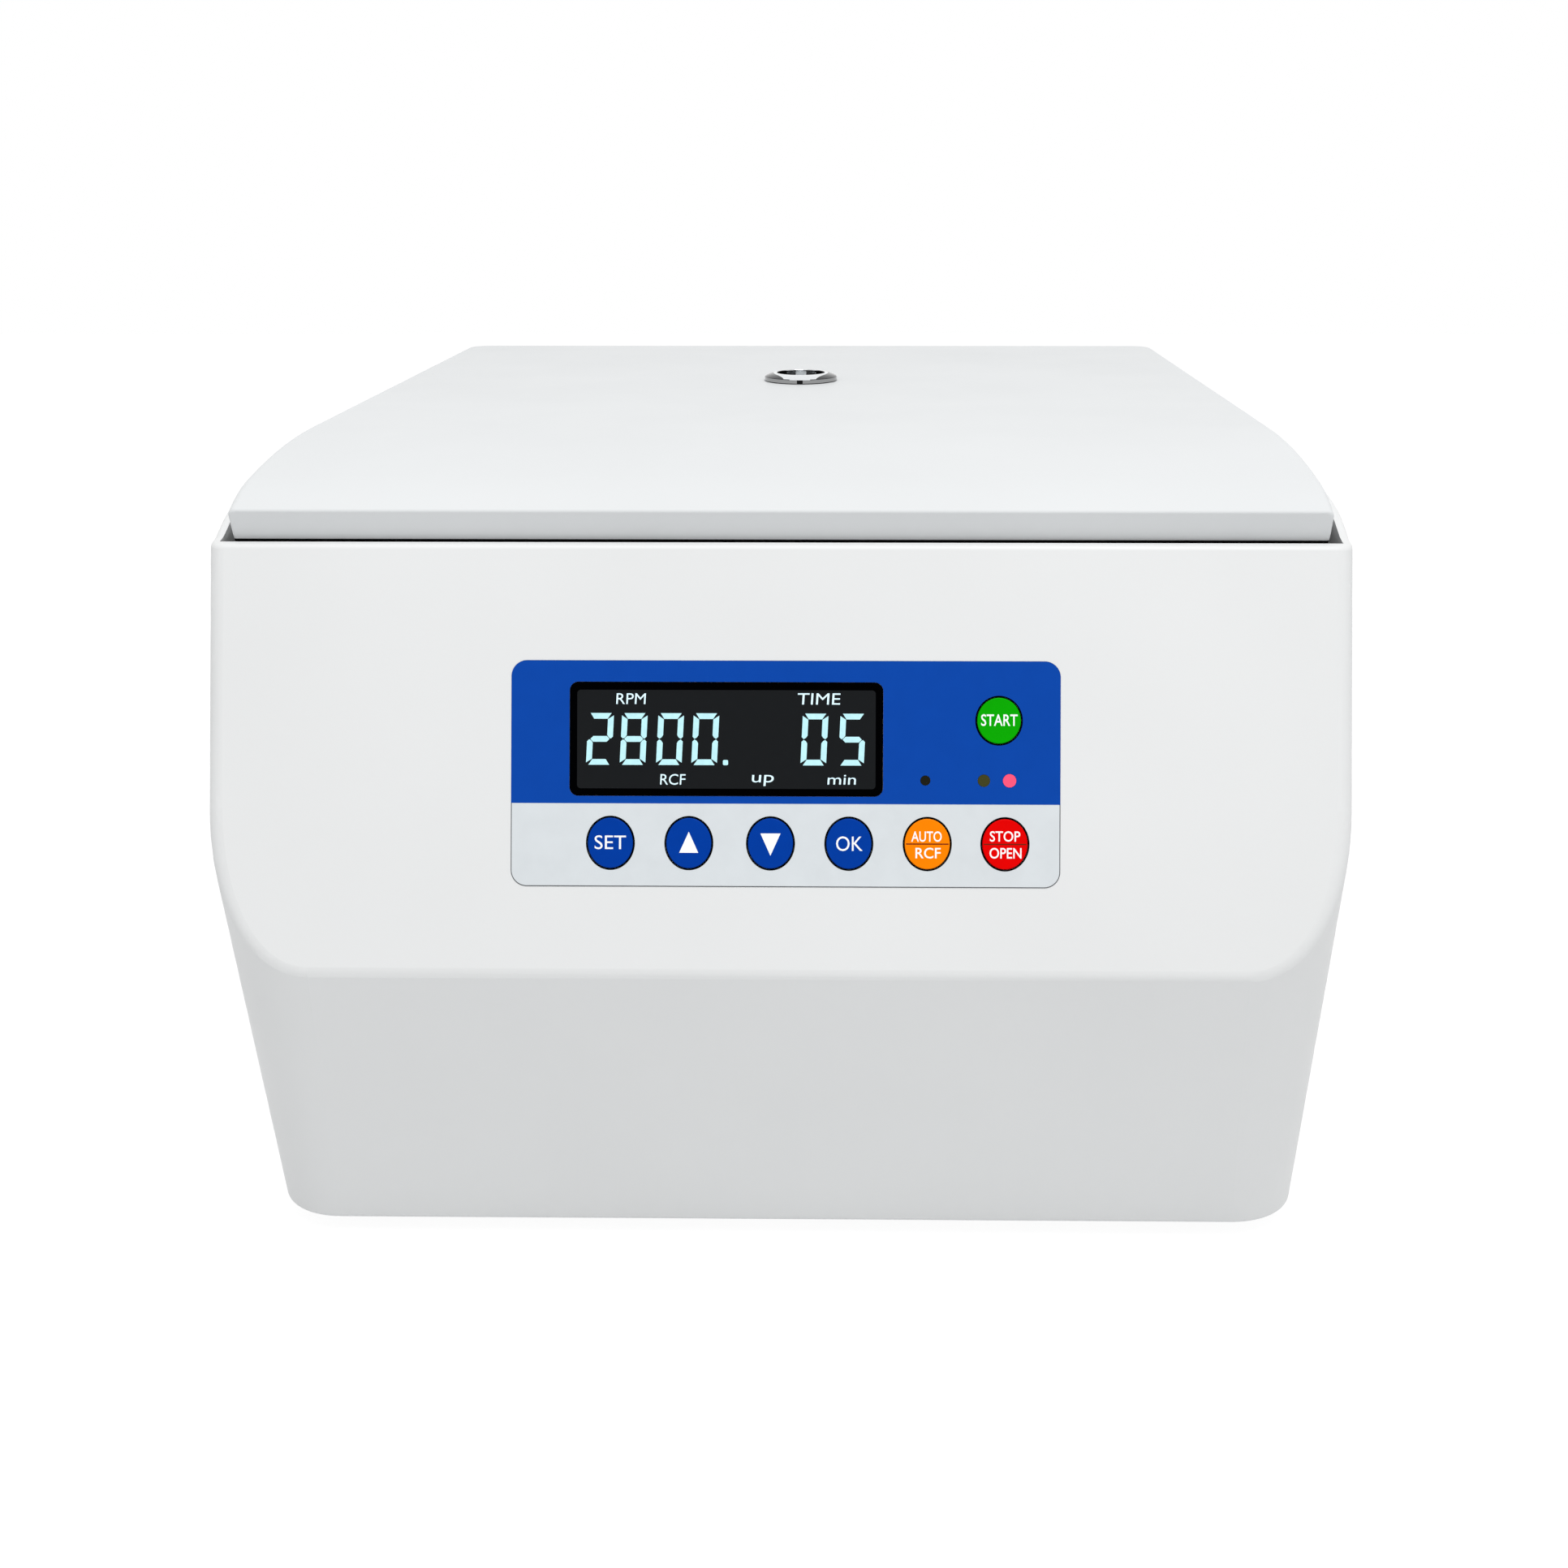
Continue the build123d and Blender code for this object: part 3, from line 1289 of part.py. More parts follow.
with BuildPart() as motor_can:
    with BuildSketch(spin_section):
        with BuildLine():
            Polyline(
                (0, motor_bottom),
                (motor_radius, motor_bottom),
                (motor_radius, cap_bottom),
                (motor_radius - can_wall, cap_bottom),
                (motor_radius - can_wall, motor_bottom + can_floor),
                (cup_radius, motor_bottom + can_floor),
                (cup_radius, bearing_low + bearing_width),
                (bearing_radius + seat_gap / 2, bearing_low + bearing_width),
                (bearing_radius + seat_gap / 2, bearing_low),
                (motor_bore, bearing_low),
                (motor_bore, motor_bottom + can_floor),
                (0, motor_bottom + can_floor),
                close=True,
            )
        make_face()
    revolve(axis=spin_axis)
motor_can.part.label = "motor_can"
export_step(motor_can.part, "parts/motor_can.step")

with BuildPart() as motor_end_cap:
    with BuildSketch(spin_section):
        with BuildLine():
            Polyline(
                (motor_bore, motor_top),
                (motor_radius, motor_top),
                (motor_radius, cap_bottom),
                (cup_radius, cap_bottom),
                (cup_radius, bearing_high),
                (bearing_radius + seat_gap / 2, bearing_high),
                (bearing_radius + seat_gap / 2, bearing_high + bearing_width),
                (motor_bore, bearing_high + bearing_width),
                close=True,
            )
        make_face()
    revolve(axis=spin_axis)
motor_end_cap.part.label = "motor_end_cap"
export_step(motor_end_cap.part, "parts/motor_end_cap.step")

with BuildPart() as motor_bearings:
    for bearing_bottom in (bearing_low, bearing_high):
        with BuildSketch(Plane.XY.offset(bearing_bottom)):
            with Locations(spin_centre):
                Circle(bearing_radius)
                Circle(spindle_radius + running_gap, mode=Mode.SUBTRACT)
        extrude(amount=bearing_width)
        with BuildSketch(Plane.XY.offset(bearing_bottom + bearing_width)):
            with Locations(spin_centre):
                Circle(bearing_radius - bearing_race)
                Circle(motor_bore, mode=Mode.SUBTRACT)
        extrude(amount=-bearing_groove, mode=Mode.SUBTRACT)
motor_bearings.part.label = "motor_bearings"
export_step(motor_bearings.part, "parts/motor_bearings.step")

with BuildPart() as motor_stator:
    with BuildSketch(Plane.XY.offset(stator_low)):
        with Locations(spin_centre):
            Circle(motor_radius - can_wall - seat_gap)
            Circle(core_radius + air_gap, mode=Mode.SUBTRACT)
            with PolarLocations(core_radius + winding_slot_inset, winding_slots):
                RectangleRounded(
                    winding_slot_length, winding_slot_width, winding_slot_round, mode=Mode.SUBTRACT
                )
    extrude(amount=stator_height)
motor_stator.part.label = "motor_stator"
export_step(motor_stator.part, "parts/motor_stator.step")

with BuildPart() as motor_core:
    with BuildSketch(Plane.XY.offset(stator_low - core_overhang)):
        with Locations(spin_centre):
            Circle(core_radius)
            Circle(spindle_radius + running_gap, mode=Mode.SUBTRACT)
    extrude(amount=stator_height + 2 * core_overhang)
motor_core.part.label = "motor_core"
export_step(motor_core.part, "parts/motor_core.step")

damper_pitch = motor_plate_side - 2 * damper_radius - 2 * damper_edge_gap
with BuildPart() as motor_plate:
    with BuildSketch(Plane.XY.offset(motor_bottom)):
        with Locations(spin_centre):
            RectangleRounded(motor_plate_side, motor_plate_side, plate_corner)
            with GridLocations(damper_pitch, damper_pitch, 2, 2):
                Circle(screw_radius + screw_gap, mode=Mode.SUBTRACT)
    extrude(amount=-motor_plate_thickness)
motor_plate.part.label = "motor_plate"
export_step(motor_plate.part, "parts/motor_plate.step")

damper_height = motor_bottom - motor_plate_thickness - base_top
with BuildPart() as motor_dampers:
    with BuildSketch(Plane.XY.offset(base_top)):
        with Locations(spin_centre):
            with GridLocations(damper_pitch, damper_pitch, 2, 2):
                Circle(damper_radius)
    extrude(amount=damper_height)
    with BuildSketch(Plane.XY.offset(base_top + damper_lip)):
        with Locations(spin_centre):
            with GridLocations(damper_pitch, damper_pitch, 2, 2):
                Circle(damper_radius)
                Circle(damper_radius - damper_waist_depth, mode=Mode.SUBTRACT)
    extrude(amount=damper_height - 2 * damper_lip, mode=Mode.SUBTRACT)
    with BuildSketch(Plane.XY.offset(motor_bottom - motor_plate_thickness)):
        with Locations(spin_centre):
            with GridLocations(damper_pitch, damper_pitch, 2, 2):
                Circle(screw_radius + screw_gap)
    extrude(amount=-damper_height / 2, mode=Mode.SUBTRACT)
motor_dampers.part.label = "motor_dampers"
export_step(motor_dampers.part, "parts/motor_dampers.step")

boot_top = bowl_floor - bowl_wall - seat_gap
boot_middle = (motor_top + boot_top) / 2
boot_inner = bowl_hole_radius - boot_fold
with BuildPart() as motor_boot:
    with BuildSketch(spin_section):
        with BuildLine():
            Polyline(
                (boot_inner, motor_top),
                (boot_inner + boot_flange, motor_top),
                (boot_inner + boot_flange, motor_top + boot_wall),
                (boot_inner + boot_wall, motor_top + boot_wall),
                (boot_inner + boot_fold + boot_wall, boot_middle),
                (boot_inner + boot_wall, boot_top - boot_wall),
                (boot_inner + boot_flange, boot_top - boot_wall),
                (boot_inner + boot_flange, boot_top),
                (boot_inner, boot_top),
                (boot_inner, boot_top - boot_wall),
                (boot_inner + boot_fold, boot_middle),
                (boot_inner, motor_top + boot_wall),
                close=True,
            )
        make_face()
    revolve(axis=spin_axis)
motor_boot.part.label = "motor_boot"
export_step(motor_boot.part, "parts/motor_boot.step")

# ---------------------------------------------------------------- control panel
with BuildPart() as control_overlay:
    with BuildSketch(panel_plane.offset(overlay_proud)):
        with Locations(overlay_centre):
            RectangleRounded(*overlay_size, overlay_round)
        with Locations(window_centre):
            RectangleRounded(*window_size, window_round, mode=Mode.SUBTRACT)
        for place_x, place_s, width, height in key_places.values():
            with Locations((place_x, place_s)):
                Ellipse(width / 2 + fit_gap, height / 2 + fit_gap, mode=Mode.SUBTRACT)
        for led_x, led_radius in led_places:
            with Locations((led_x, led_row)):
                Circle(led_radius + seat_gap, mode=Mode.SUBTRACT)
    extrude(amount=-overlay_thickness)
control_overlay.part.label = "control_overlay"
export_step(control_overlay.part, "parts/control_overlay.step")

with BuildPart() as display_window:
    with BuildSketch(panel_plane.offset(overlay_proud)):
        with Locations(window_centre):
            RectangleRounded(*[size - 2 * seat_gap for size in window_size], window_round - seat_gap)
    extrude(amount=-overlay_thickness)
display_window.part.label = "display_window"
export_step(display_window.part, "parts/display_window.step")

with BuildPart() as display_module:
    with BuildSketch(panel_plane.offset(-board_depth)):
        with Locations(window_centre):
            Rectangle(*[size - 2 * window_border - 2 * fit_gap for size in window_size])
    extrude(amount=board_depth - overlay_recess - fit_gap)
display_module.part.label = "display_module"
export_step(display_module.part, "parts/display_module.step")

with BuildPart() as indicator_leds:
    for led_x, led_radius in led_places:
        with BuildSketch(panel_plane.offset(-board_depth)):
            with Locations((led_x, led_row)):
                Circle(led_radius)
        extrude(amount=board_depth + overlay_proud)
indicator_leds.part.label = "indicator_leds"
export_step(indicator_leds.part, "parts/indicator_leds.step")

key_inner = shell_wall + seat_gap
stem_end = key_inner + key_flange_thickness + key_stem_length
switch_top = stem_end + key_travel + fit_gap
for key_name, (place_x, place_s, width, height) in key_places.items():
    with BuildPart() as key:
        with BuildSketch(panel_plane.offset(key_proud)):
            with Locations((place_x, place_s)):
                Ellipse(width / 2, height / 2)
        extrude(amount=-key_proud - key_inner - key_flange_thickness / 2)
        fillet(key.faces().sort_by(Axis((0, 0, 0), panel_plane.z_dir))[-1].edges(), key_top_round)
        with BuildSketch(panel_plane.offset(-key_inner)):
            with Locations((place_x, place_s)):
                Ellipse(width / 2 + key_flange, height / 2 + key_flange)
        extrude(amount=-key_flange_thickness)
        with BuildSketch(panel_plane.offset(-key_inner - key_flange_thickness)):
            with Locations((place_x, place_s)):
                Circle(key_stem_radius)
        extrude(amount=-key_stem_length)
    key.part.label = f"key_{key_name}"
    export_step(key.part, f"parts/key_{key_name}.step")

with BuildPart() as control_board:
    with BuildSketch(panel_plane.offset(-board_depth)):
        with Locations(overlay_centre):
            Rectangle(*overlay_size)
            with Locations(*[(x - overlay_centre[0], s - overlay_centre[1]) for x, s in board_posts]):
                Circle(screw_radius + screw_gap, mode=Mode.SUBTRACT)
    extrude(amount=-board_thickness)
    # tactile switches, one behind each key
    with BuildSketch(panel_plane.offset(-board_depth)):
        for place_x, place_s, *_ in key_places.values():
            with Locations((place_x, place_s)):
                Rectangle(switch_size, switch_size)
    extrude(amount=board_depth - switch_top - switch_button_height)
    with BuildSketch(panel_plane.offset(-board_depth)):
        for place_x, place_s, *_ in key_places.values():
            with Locations((place_x, place_s)):
                Circle(switch_button_radius)
    extrude(amount=board_depth - switch_top)
    # controller chip and cable header on the back
    with BuildSketch(panel_plane.offset(-board_depth - board_thickness)):
        with Locations((0, overlay_centre[1])):
            Rectangle(chip_side, chip_side)
        with Locations((overlay_right - header_inset, overlay_centre[1])):
            Rectangle(header_width, header_length)
    extrude(amount=-chip_height)
control_board.part.label = "control_board"
export_step(control_board.part, "parts/control_board.step")

# ---------------------------------------------------------------- electronics in the front bay
driver_bottom = base_top + driver_standoff
driver_top = driver_bottom + board_thickness
with BuildPart() as driver_board:
    with BuildSketch(Plane.XY.offset(driver_bottom)):
        with Locations((driver_x, driver_y)):
            Rectangle(driver_length, driver_width)
    extrude(amount=board_thickness)
    with BuildSketch(Plane.XY.offset(driver_top)):
        with Locations((driver_x, driver_y - driver_width / 4)):
            with GridLocations(capacitor_pitch, 0, 4, 1):
                Circle(capacitor_radius)
    extrude(amount=capacitor_height)
    with BuildSketch(Plane.XY.offset(driver_top)):
        with Locations((driver_x + driver_length / 3, driver_y + driver_width / 4)):
            Rectangle(choke_length, choke_width)
    extrude(amount=choke_height)
driver_board.part.label = "driver_board"
export_step(driver_board.part, "parts/driver_board.step")

with BuildPart() as heatsink:
    with BuildSketch(Plane.XY.offset(driver_top)):
        with Locations((driver_x - driver_length / 6, driver_y + driver_width / 4)):
            Rectangle(heatsink_length, heatsink_width)
    extrude(amount=heatsink_base)
    with BuildSketch(Plane.XY.offset(driver_top + heatsink_base)):
        with Locations((driver_x - driver_length / 6, driver_y + driver_width / 4)):
            with GridLocations(fin_pitch, 0, fin_count, 1):
                Rectangle(fin_thickness, heatsink_width)
    extrude(amount=fin_height)
heatsink.part.label = "heatsink"
export_step(heatsink.part, "parts/heatsink.step")

with BuildPart() as power_supply:
    with BuildSketch(Plane.XY.offset(base_top)):
        with Locations((supply_x, driver_y)):
            Rectangle(supply_length, supply_width)
    extrude(amount=supply_height)
    fillet(power_supply.edges().filter_by(Axis.Z), supply_corner)
    with BuildSketch(Plane.XY.offset(base_top + supply_height)):
        with Locations((supply_x, driver_y)):
            with GridLocations(supply_slot_pitch, 0, 12, 1):
                SlotOverall(supply_slot_length, supply_slot_width, rotation=90)
    extrude(amount=-supply_slot_depth, mode=Mode.SUBTRACT)
power_supply.part.label = "power_supply"
export_step(power_supply.part, "parts/power_supply.step")

# ---------------------------------------------------------------- rear panel fittings
fan_front_y = rear_y - rear_panel_thickness
with BuildPart() as fan_frame:
    with BuildSketch(Plane.XZ.offset(-fan_front_y)):
        with Locations((fan_x, fan_z)):
            RectangleRounded(fan_side, fan_side, fan_corner)
            Circle(fan_bore_radius, mode=Mode.SUBTRACT)
            with GridLocations(fan_hole_pitch, fan_hole_pitch, 2, 2):
                Circle(screw_radius + screw_gap, mode=Mode.SUBTRACT)
    extrude(amount=fan_depth)
    # motor seat and its four struts on the inner side
    with BuildSketch(Plane.XZ.offset(-fan_front_y + fan_depth)):
        with Locations((fan_x, fan_z)):
            Circle(fan_hub_radius)
            Rectangle(2 * (fan_bore_radius + fan_seat_overlap), fan_strut)
            Rectangle(fan_strut, 2 * (fan_bore_radius + fan_seat_overlap))
    extrude(amount=-fan_strut)
    with BuildSketch(Plane.XZ.offset(-fan_front_y + fan_depth - fan_strut)):
        with Locations((fan_x, fan_z)):
            Circle(fan_axle_radius)
    extrude(amount=-fan_blade_chord / 2)
fan_frame.part.label = "fan_frame"
export_step(fan_frame.part, "parts/fan_frame.step")

fan_rotor_back = fan_front_y - fan_depth + fan_strut + fit_gap
blade_root_radius = fan_hub_radius - 2 * fan_seat_overlap
blade_mid_y = fan_rotor_back + fan_blade_chord / 2
with BuildPart() as fan_rotor:
    with BuildSketch(Plane.XZ.offset(-fan_rotor_back)):
        with Locations((fan_x, fan_z)):
            Circle(fan_hub_radius)
    extrude(amount=-fan_blade_chord)
    fillet(fan_rotor.edges().filter_by(GeomType.CIRCLE).sort_by(Axis.Y)[-1], fan_hub_round)
    for blade in range(fan_blades):
        turn = radians(360 * blade / fan_blades)
        outward = (cos(turn), 0, sin(turn))
        flat_chord = cos(radians(fan_pitch))
        around = (-sin(turn) * flat_chord, sin(radians(fan_pitch)), cos(turn) * flat_chord)
        root = (
            fan_x + blade_root_radius * cos(turn),
            blade_mid_y,
            fan_z + blade_root_radius * sin(turn),
        )
        with BuildSketch(Plane(origin=root, x_dir=around, z_dir=outward)):
            SlotOverall(fan_blade_width, fan_blade_thickness)
        extrude(amount=fan_bore_radius - fan_tip_gap - blade_root_radius)
    with BuildSketch(Plane.XZ.offset(-fan_rotor_back)):
        with Locations((fan_x, fan_z)):
            Circle(fan_axle_radius + running_gap)
    extrude(amount=-fan_blade_chord / 2 - fit_gap, mode=Mode.SUBTRACT)
fan_rotor.part.label = "fan_rotor"
export_step(fan_rotor.part, "parts/fan_rotor.step")

guard_ring_y = rear_y + guard_proud - guard_wire
guard_reach = fan_hole_pitch / sqrt(2)
spoke_y = rear_y + guard_wire + guard_spoke_gap
with BuildPart() as fan_guard:
    for ring in range(guard_rings):
        ring_radius = guard_first_ring + ring * guard_ring_pitch
        with BuildSketch(Plane(origin=(fan_x, guard_ring_y, fan_z), x_dir=(1, 0, 0), z_dir=(0, 0, 1))):
            with Locations((ring_radius, 0)):
                Circle(guard_wire)
        revolve(axis=Axis((fan_x, 0, fan_z), (0, 1, 0)))
    for corner in range(4):
        turn = radians(45 + 90 * corner)
        spoke_plane = Plane(origin=(fan_x, spoke_y, fan_z), z_dir=(cos(turn), 0, sin(turn)))
        with BuildSketch(spoke_plane.offset(guard_first_ring)):
            Circle(guard_wire)
        extrude(amount=guard_reach - screw_head_radius - fit_gap - guard_first_ring)
    with BuildSketch(Plane.XZ.offset(-rear_y)):
        with Locations((fan_x, fan_z)):
            with GridLocations(fan_hole_pitch, fan_hole_pitch, 2, 2):
                Circle(guard_tab_radius)
                Circle(screw_radius + screw_gap, mode=Mode.SUBTRACT)
    extrude(amount=-guard_wire)
fan_guard.part.label = "fan_guard"
export_step(fan_guard.part, "parts/fan_guard.step")

# Combined mains inlet and power switch
rocker_y = rear_y - rocker_y_inset
socket_z = inlet_z - inlet_body_height / 4
rocker_z = inlet_z + inlet_body_height / 4
with BuildPart() as inlet_module:
    with BuildSketch(Plane.XZ.offset(-rear_y)):
        with Locations((inlet_x, inlet_z)):
            RectangleRounded(
                inlet_body_width + 2 * inlet_flange, inlet_body_height + 2 * inlet_flange, inlet_corner
            )
    extrude(amount=-inlet_flange_thickness)
    with BuildSketch(Plane.XZ.offset(-rear_y)):
        with Locations((inlet_x, inlet_z)):
            Rectangle(inlet_body_width, inlet_body_height)
    extrude(amount=inlet_depth)
    inlet_face = Plane.XZ.offset(-rear_y - inlet_flange_thickness)
    with BuildSketch(inlet_face) as socket_outline:
        with Locations((inlet_x, socket_z)):
            Rectangle(socket_width, socket_height)
        chamfer(socket_outline.vertices().group_by(Axis.Y)[-1], socket_chamfer)
        fillet(socket_outline.vertices().group_by(Axis.Y)[0], socket_round)
    extrude(amount=socket_depth, mode=Mode.SUBTRACT)
    # three contact blades
    for blade_x, blade_z in contact_places:
        with BuildSketch(inlet_face.offset(socket_depth)):
            with Locations((inlet_x + blade_x, socket_z + blade_z)):
                Rectangle(contact_width, contact_height)
        extrude(amount=-contact_length)
    # barrel-shaped pocket for the rocker
    with BuildSketch(Plane.YZ.offset(inlet_x)):
        with Locations((rocker_y, rocker_z)):
            Circle(rocker_radius + fit_gap)
    extrude(amount=rocker_width / 2 + fit_gap, both=True, mode=Mode.SUBTRACT)
    with BuildSketch(Plane.YZ.offset(inlet_x)):
        with Locations((rocker_y, rocker_z)):
            Circle(rocker_pin_radius)
    extrude(amount=rocker_width / 2 + fit_gap, both=True)
inlet_module.part.label = "inlet_module"
export_step(inlet_module.part, "parts/inlet_module.step")

# The rocker's frame is turned half its travel, so that one end is pressed in.
half_travel = radians(rocker_travel / 2)
rocker_plane = Plane(
    origin=(inlet_x, rocker_y, rocker_z),
    x_dir=(0, cos(half_travel), sin(half_travel)),
    z_dir=(1, 0, 0),
)
with BuildPart() as power_rocker:
    with BuildSketch(rocker_plane):
        Circle(rocker_radius)
        # the two finger faces meet in a shallow dish
        with BuildLine():
            Polyline(
                (rocker_face + rocker_radius * rocker_dish, rocker_radius),
                (rocker_face, 0),
                (rocker_face + rocker_radius * rocker_dish, -rocker_radius),
                (2 * rocker_radius, -rocker_radius),
                (2 * rocker_radius, rocker_radius),
                close=True,
            )
        make_face(mode=Mode.SUBTRACT)
        Circle(rocker_pin_radius + running_gap, mode=Mode.SUBTRACT)
    extrude(amount=rocker_width / 2, both=True)
power_rocker.part.label = "power_rocker"
export_step(power_rocker.part, "parts/power_rocker.step")

# ---------------------------------------------------------------- fasteners of the chassis
with BuildPart() as chassis_screws:
    for place_x, place_y in base_boss_places + foot_places:
        seat_height = foot_height if (place_x, place_y) in base_boss_places else foot_height / 2
        add(screw(Plane(origin=(place_x, place_y, seat_height), z_dir=(0, 0, -1)), screw_length))
    for place_x, place_y in deck_screw_places:
        add(screw(Plane(origin=(place_x, place_y, deck_height)), short_screw_length))
    for place_x, place_y in bracket_foot_places:
        add(screw(Plane(origin=(place_x, place_y, deck_height + hinge_plate / 2)), short_screw_length))
    for place_x, place_z in rear_screw_places:
        add(screw(Plane(origin=(place_x, rear_y, rear_centre_z + place_z), z_dir=(0, 1, 0)), screw_length))
    for place_x, place_s in board_posts:
        back = panel_plane.offset(-board_depth - board_thickness)
        seat = back.from_local_coords((place_x, place_s, 0))
        add(screw(Plane(origin=seat, z_dir=-back.z_dir), board_screw_length))
    for corner_x in (-fan_hole_pitch / 2, fan_hole_pitch / 2):
        for corner_z in (-fan_hole_pitch / 2, fan_hole_pitch / 2):
            head_plane = Plane(
                origin=(fan_x + corner_x, rear_y + guard_wire, fan_z + corner_z), z_dir=(0, 1, 0)
            )
            add(screw(head_plane, screw_length))
    for corner_x in (-damper_pitch / 2, damper_pitch / 2):
        for corner_y in (-damper_pitch / 2, damper_pitch / 2):
            add(screw(Plane(origin=(corner_x, spin_y + corner_y, motor_bottom)), damper_screw_length))
chassis_screws.part.label = "chassis_screws"
export_step(chassis_screws.part, "parts/chassis_screws.step")
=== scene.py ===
"""Looks of the bench microplate centrifuge: materials, panel print, legends, light and camera."""

import json
from math import cos, pi, radians, sin, tan

import bpy
from mathutils import Matrix, Vector


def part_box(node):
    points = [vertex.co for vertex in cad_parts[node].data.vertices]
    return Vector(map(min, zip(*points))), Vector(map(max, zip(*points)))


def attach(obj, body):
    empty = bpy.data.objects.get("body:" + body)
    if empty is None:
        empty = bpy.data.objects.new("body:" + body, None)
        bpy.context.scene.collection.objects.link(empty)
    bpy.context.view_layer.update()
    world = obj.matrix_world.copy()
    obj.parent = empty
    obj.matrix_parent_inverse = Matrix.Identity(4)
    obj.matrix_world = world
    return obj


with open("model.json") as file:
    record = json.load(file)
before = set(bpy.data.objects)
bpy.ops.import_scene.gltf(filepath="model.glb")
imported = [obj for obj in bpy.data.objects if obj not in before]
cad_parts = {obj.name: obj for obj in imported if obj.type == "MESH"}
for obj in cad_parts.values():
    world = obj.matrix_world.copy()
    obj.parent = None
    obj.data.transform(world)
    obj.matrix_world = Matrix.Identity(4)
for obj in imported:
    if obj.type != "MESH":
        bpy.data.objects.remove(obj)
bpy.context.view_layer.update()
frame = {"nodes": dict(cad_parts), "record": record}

MM = 0.001

# ---------------------------------------------------------------- the leaning panel's own frame
lean = radians(16)
across = Vector((1, 0, 0))
upward = Vector((0, sin(lean), cos(lean)))
outward = Vector((0, -cos(lean), sin(lean)))
film_thickness = 0.8 * MM
film_low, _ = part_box("control_overlay")
film_foot = Vector((0, film_low.y, film_low.z + film_thickness * sin(lean)))
face_slack = 0.02 * MM           # points this near to the outermost are on the outer face
panel = Matrix.Translation(film_foot) @ Matrix((across, upward, outward)).transposed().to_4x4()


def on_panel(point):
    """A point of the object as (across, up from the film's lower edge, out of the film)."""
    offset = Vector(point) - film_foot
    return offset.dot(across), offset.dot(upward), offset.dot(outward)


def panel_reach(node):
    """Left, right, lower and upper edge of a piece set flat in the panel, and its outer face."""
    vertices = frame["nodes"][node].data.vertices
    places = [on_panel(vertex.co) for vertex in vertices]
    outer = max(place[2] for place in places)
    face = [place for place in places if place[2] > outer - face_slack]
    return (
        min(place[0] for place in face), max(place[0] for place in face),
        min(place[1] for place in face), max(place[1] for place in face),
        outer,
    )


# ---------------------------------------------------------------- materials
# The lid's roof and its hood rise to the rear by these slopes
roof_rise = 0.0629
hood_rise = 0.2135
# Upper edge of the black band on the lid's skirt on its two runs: depth, height there and slope
black_band_lines = ((-0.2088, 0.2984, hood_rise), (-0.1047, 0.3206, roof_rise))

ring_low, ring_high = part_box("sight_ring")
ring_middle = (ring_low + ring_high) / 2
# Radius that parts the ring's outer side from its inner hollow, for the painted reflections
ring_band_inner = 15.5 * MM
# Height of the plane below which the ring's base gets a painted shadow
ring_shadow_height = 0.34265 - roof_rise * ring_middle.y
# Parts of the chrome ring that get painted reflections are told apart by the share of their normal
# along an axis
ring_flat_share = 0.6
ring_crescent_share = 0.2
ring_hollow_share = 0.62
ring_tab_share = 0.08
ring_front_share = -0.9

rocker_low, rocker_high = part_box("power_rocker")
rocker_middle = (rocker_low + rocker_high) / 2
rocker_mark_rise = 2.1 * MM
rocker_bar = (0.28 * MM, 1.25 * MM)
rocker_circle_radius = 1.05 * MM
rocker_circle_half_line = 0.27 * MM


def linear(red, green, blue):
    """A display colour of 0 to 255 as the linear colour that shows as it."""
    def channel(value):
        part = value / 255
        return part / 12.92 if part <= 0.04045 else ((part + 0.055) / 1.055) ** 2.4
    return channel(red), channel(green), channel(blue), 1


def reckoned(tree, operation, *values):
    """The result of a math node; values are sockets or numbers."""
    node = tree.nodes.new("ShaderNodeMath")
    node.operation = operation
    for value, socket in zip(values, node.inputs):
        if isinstance(value, bpy.types.NodeSocket):
            tree.links.new(value, socket)
        else:
            socket.default_value = value
    return node.outputs[0]


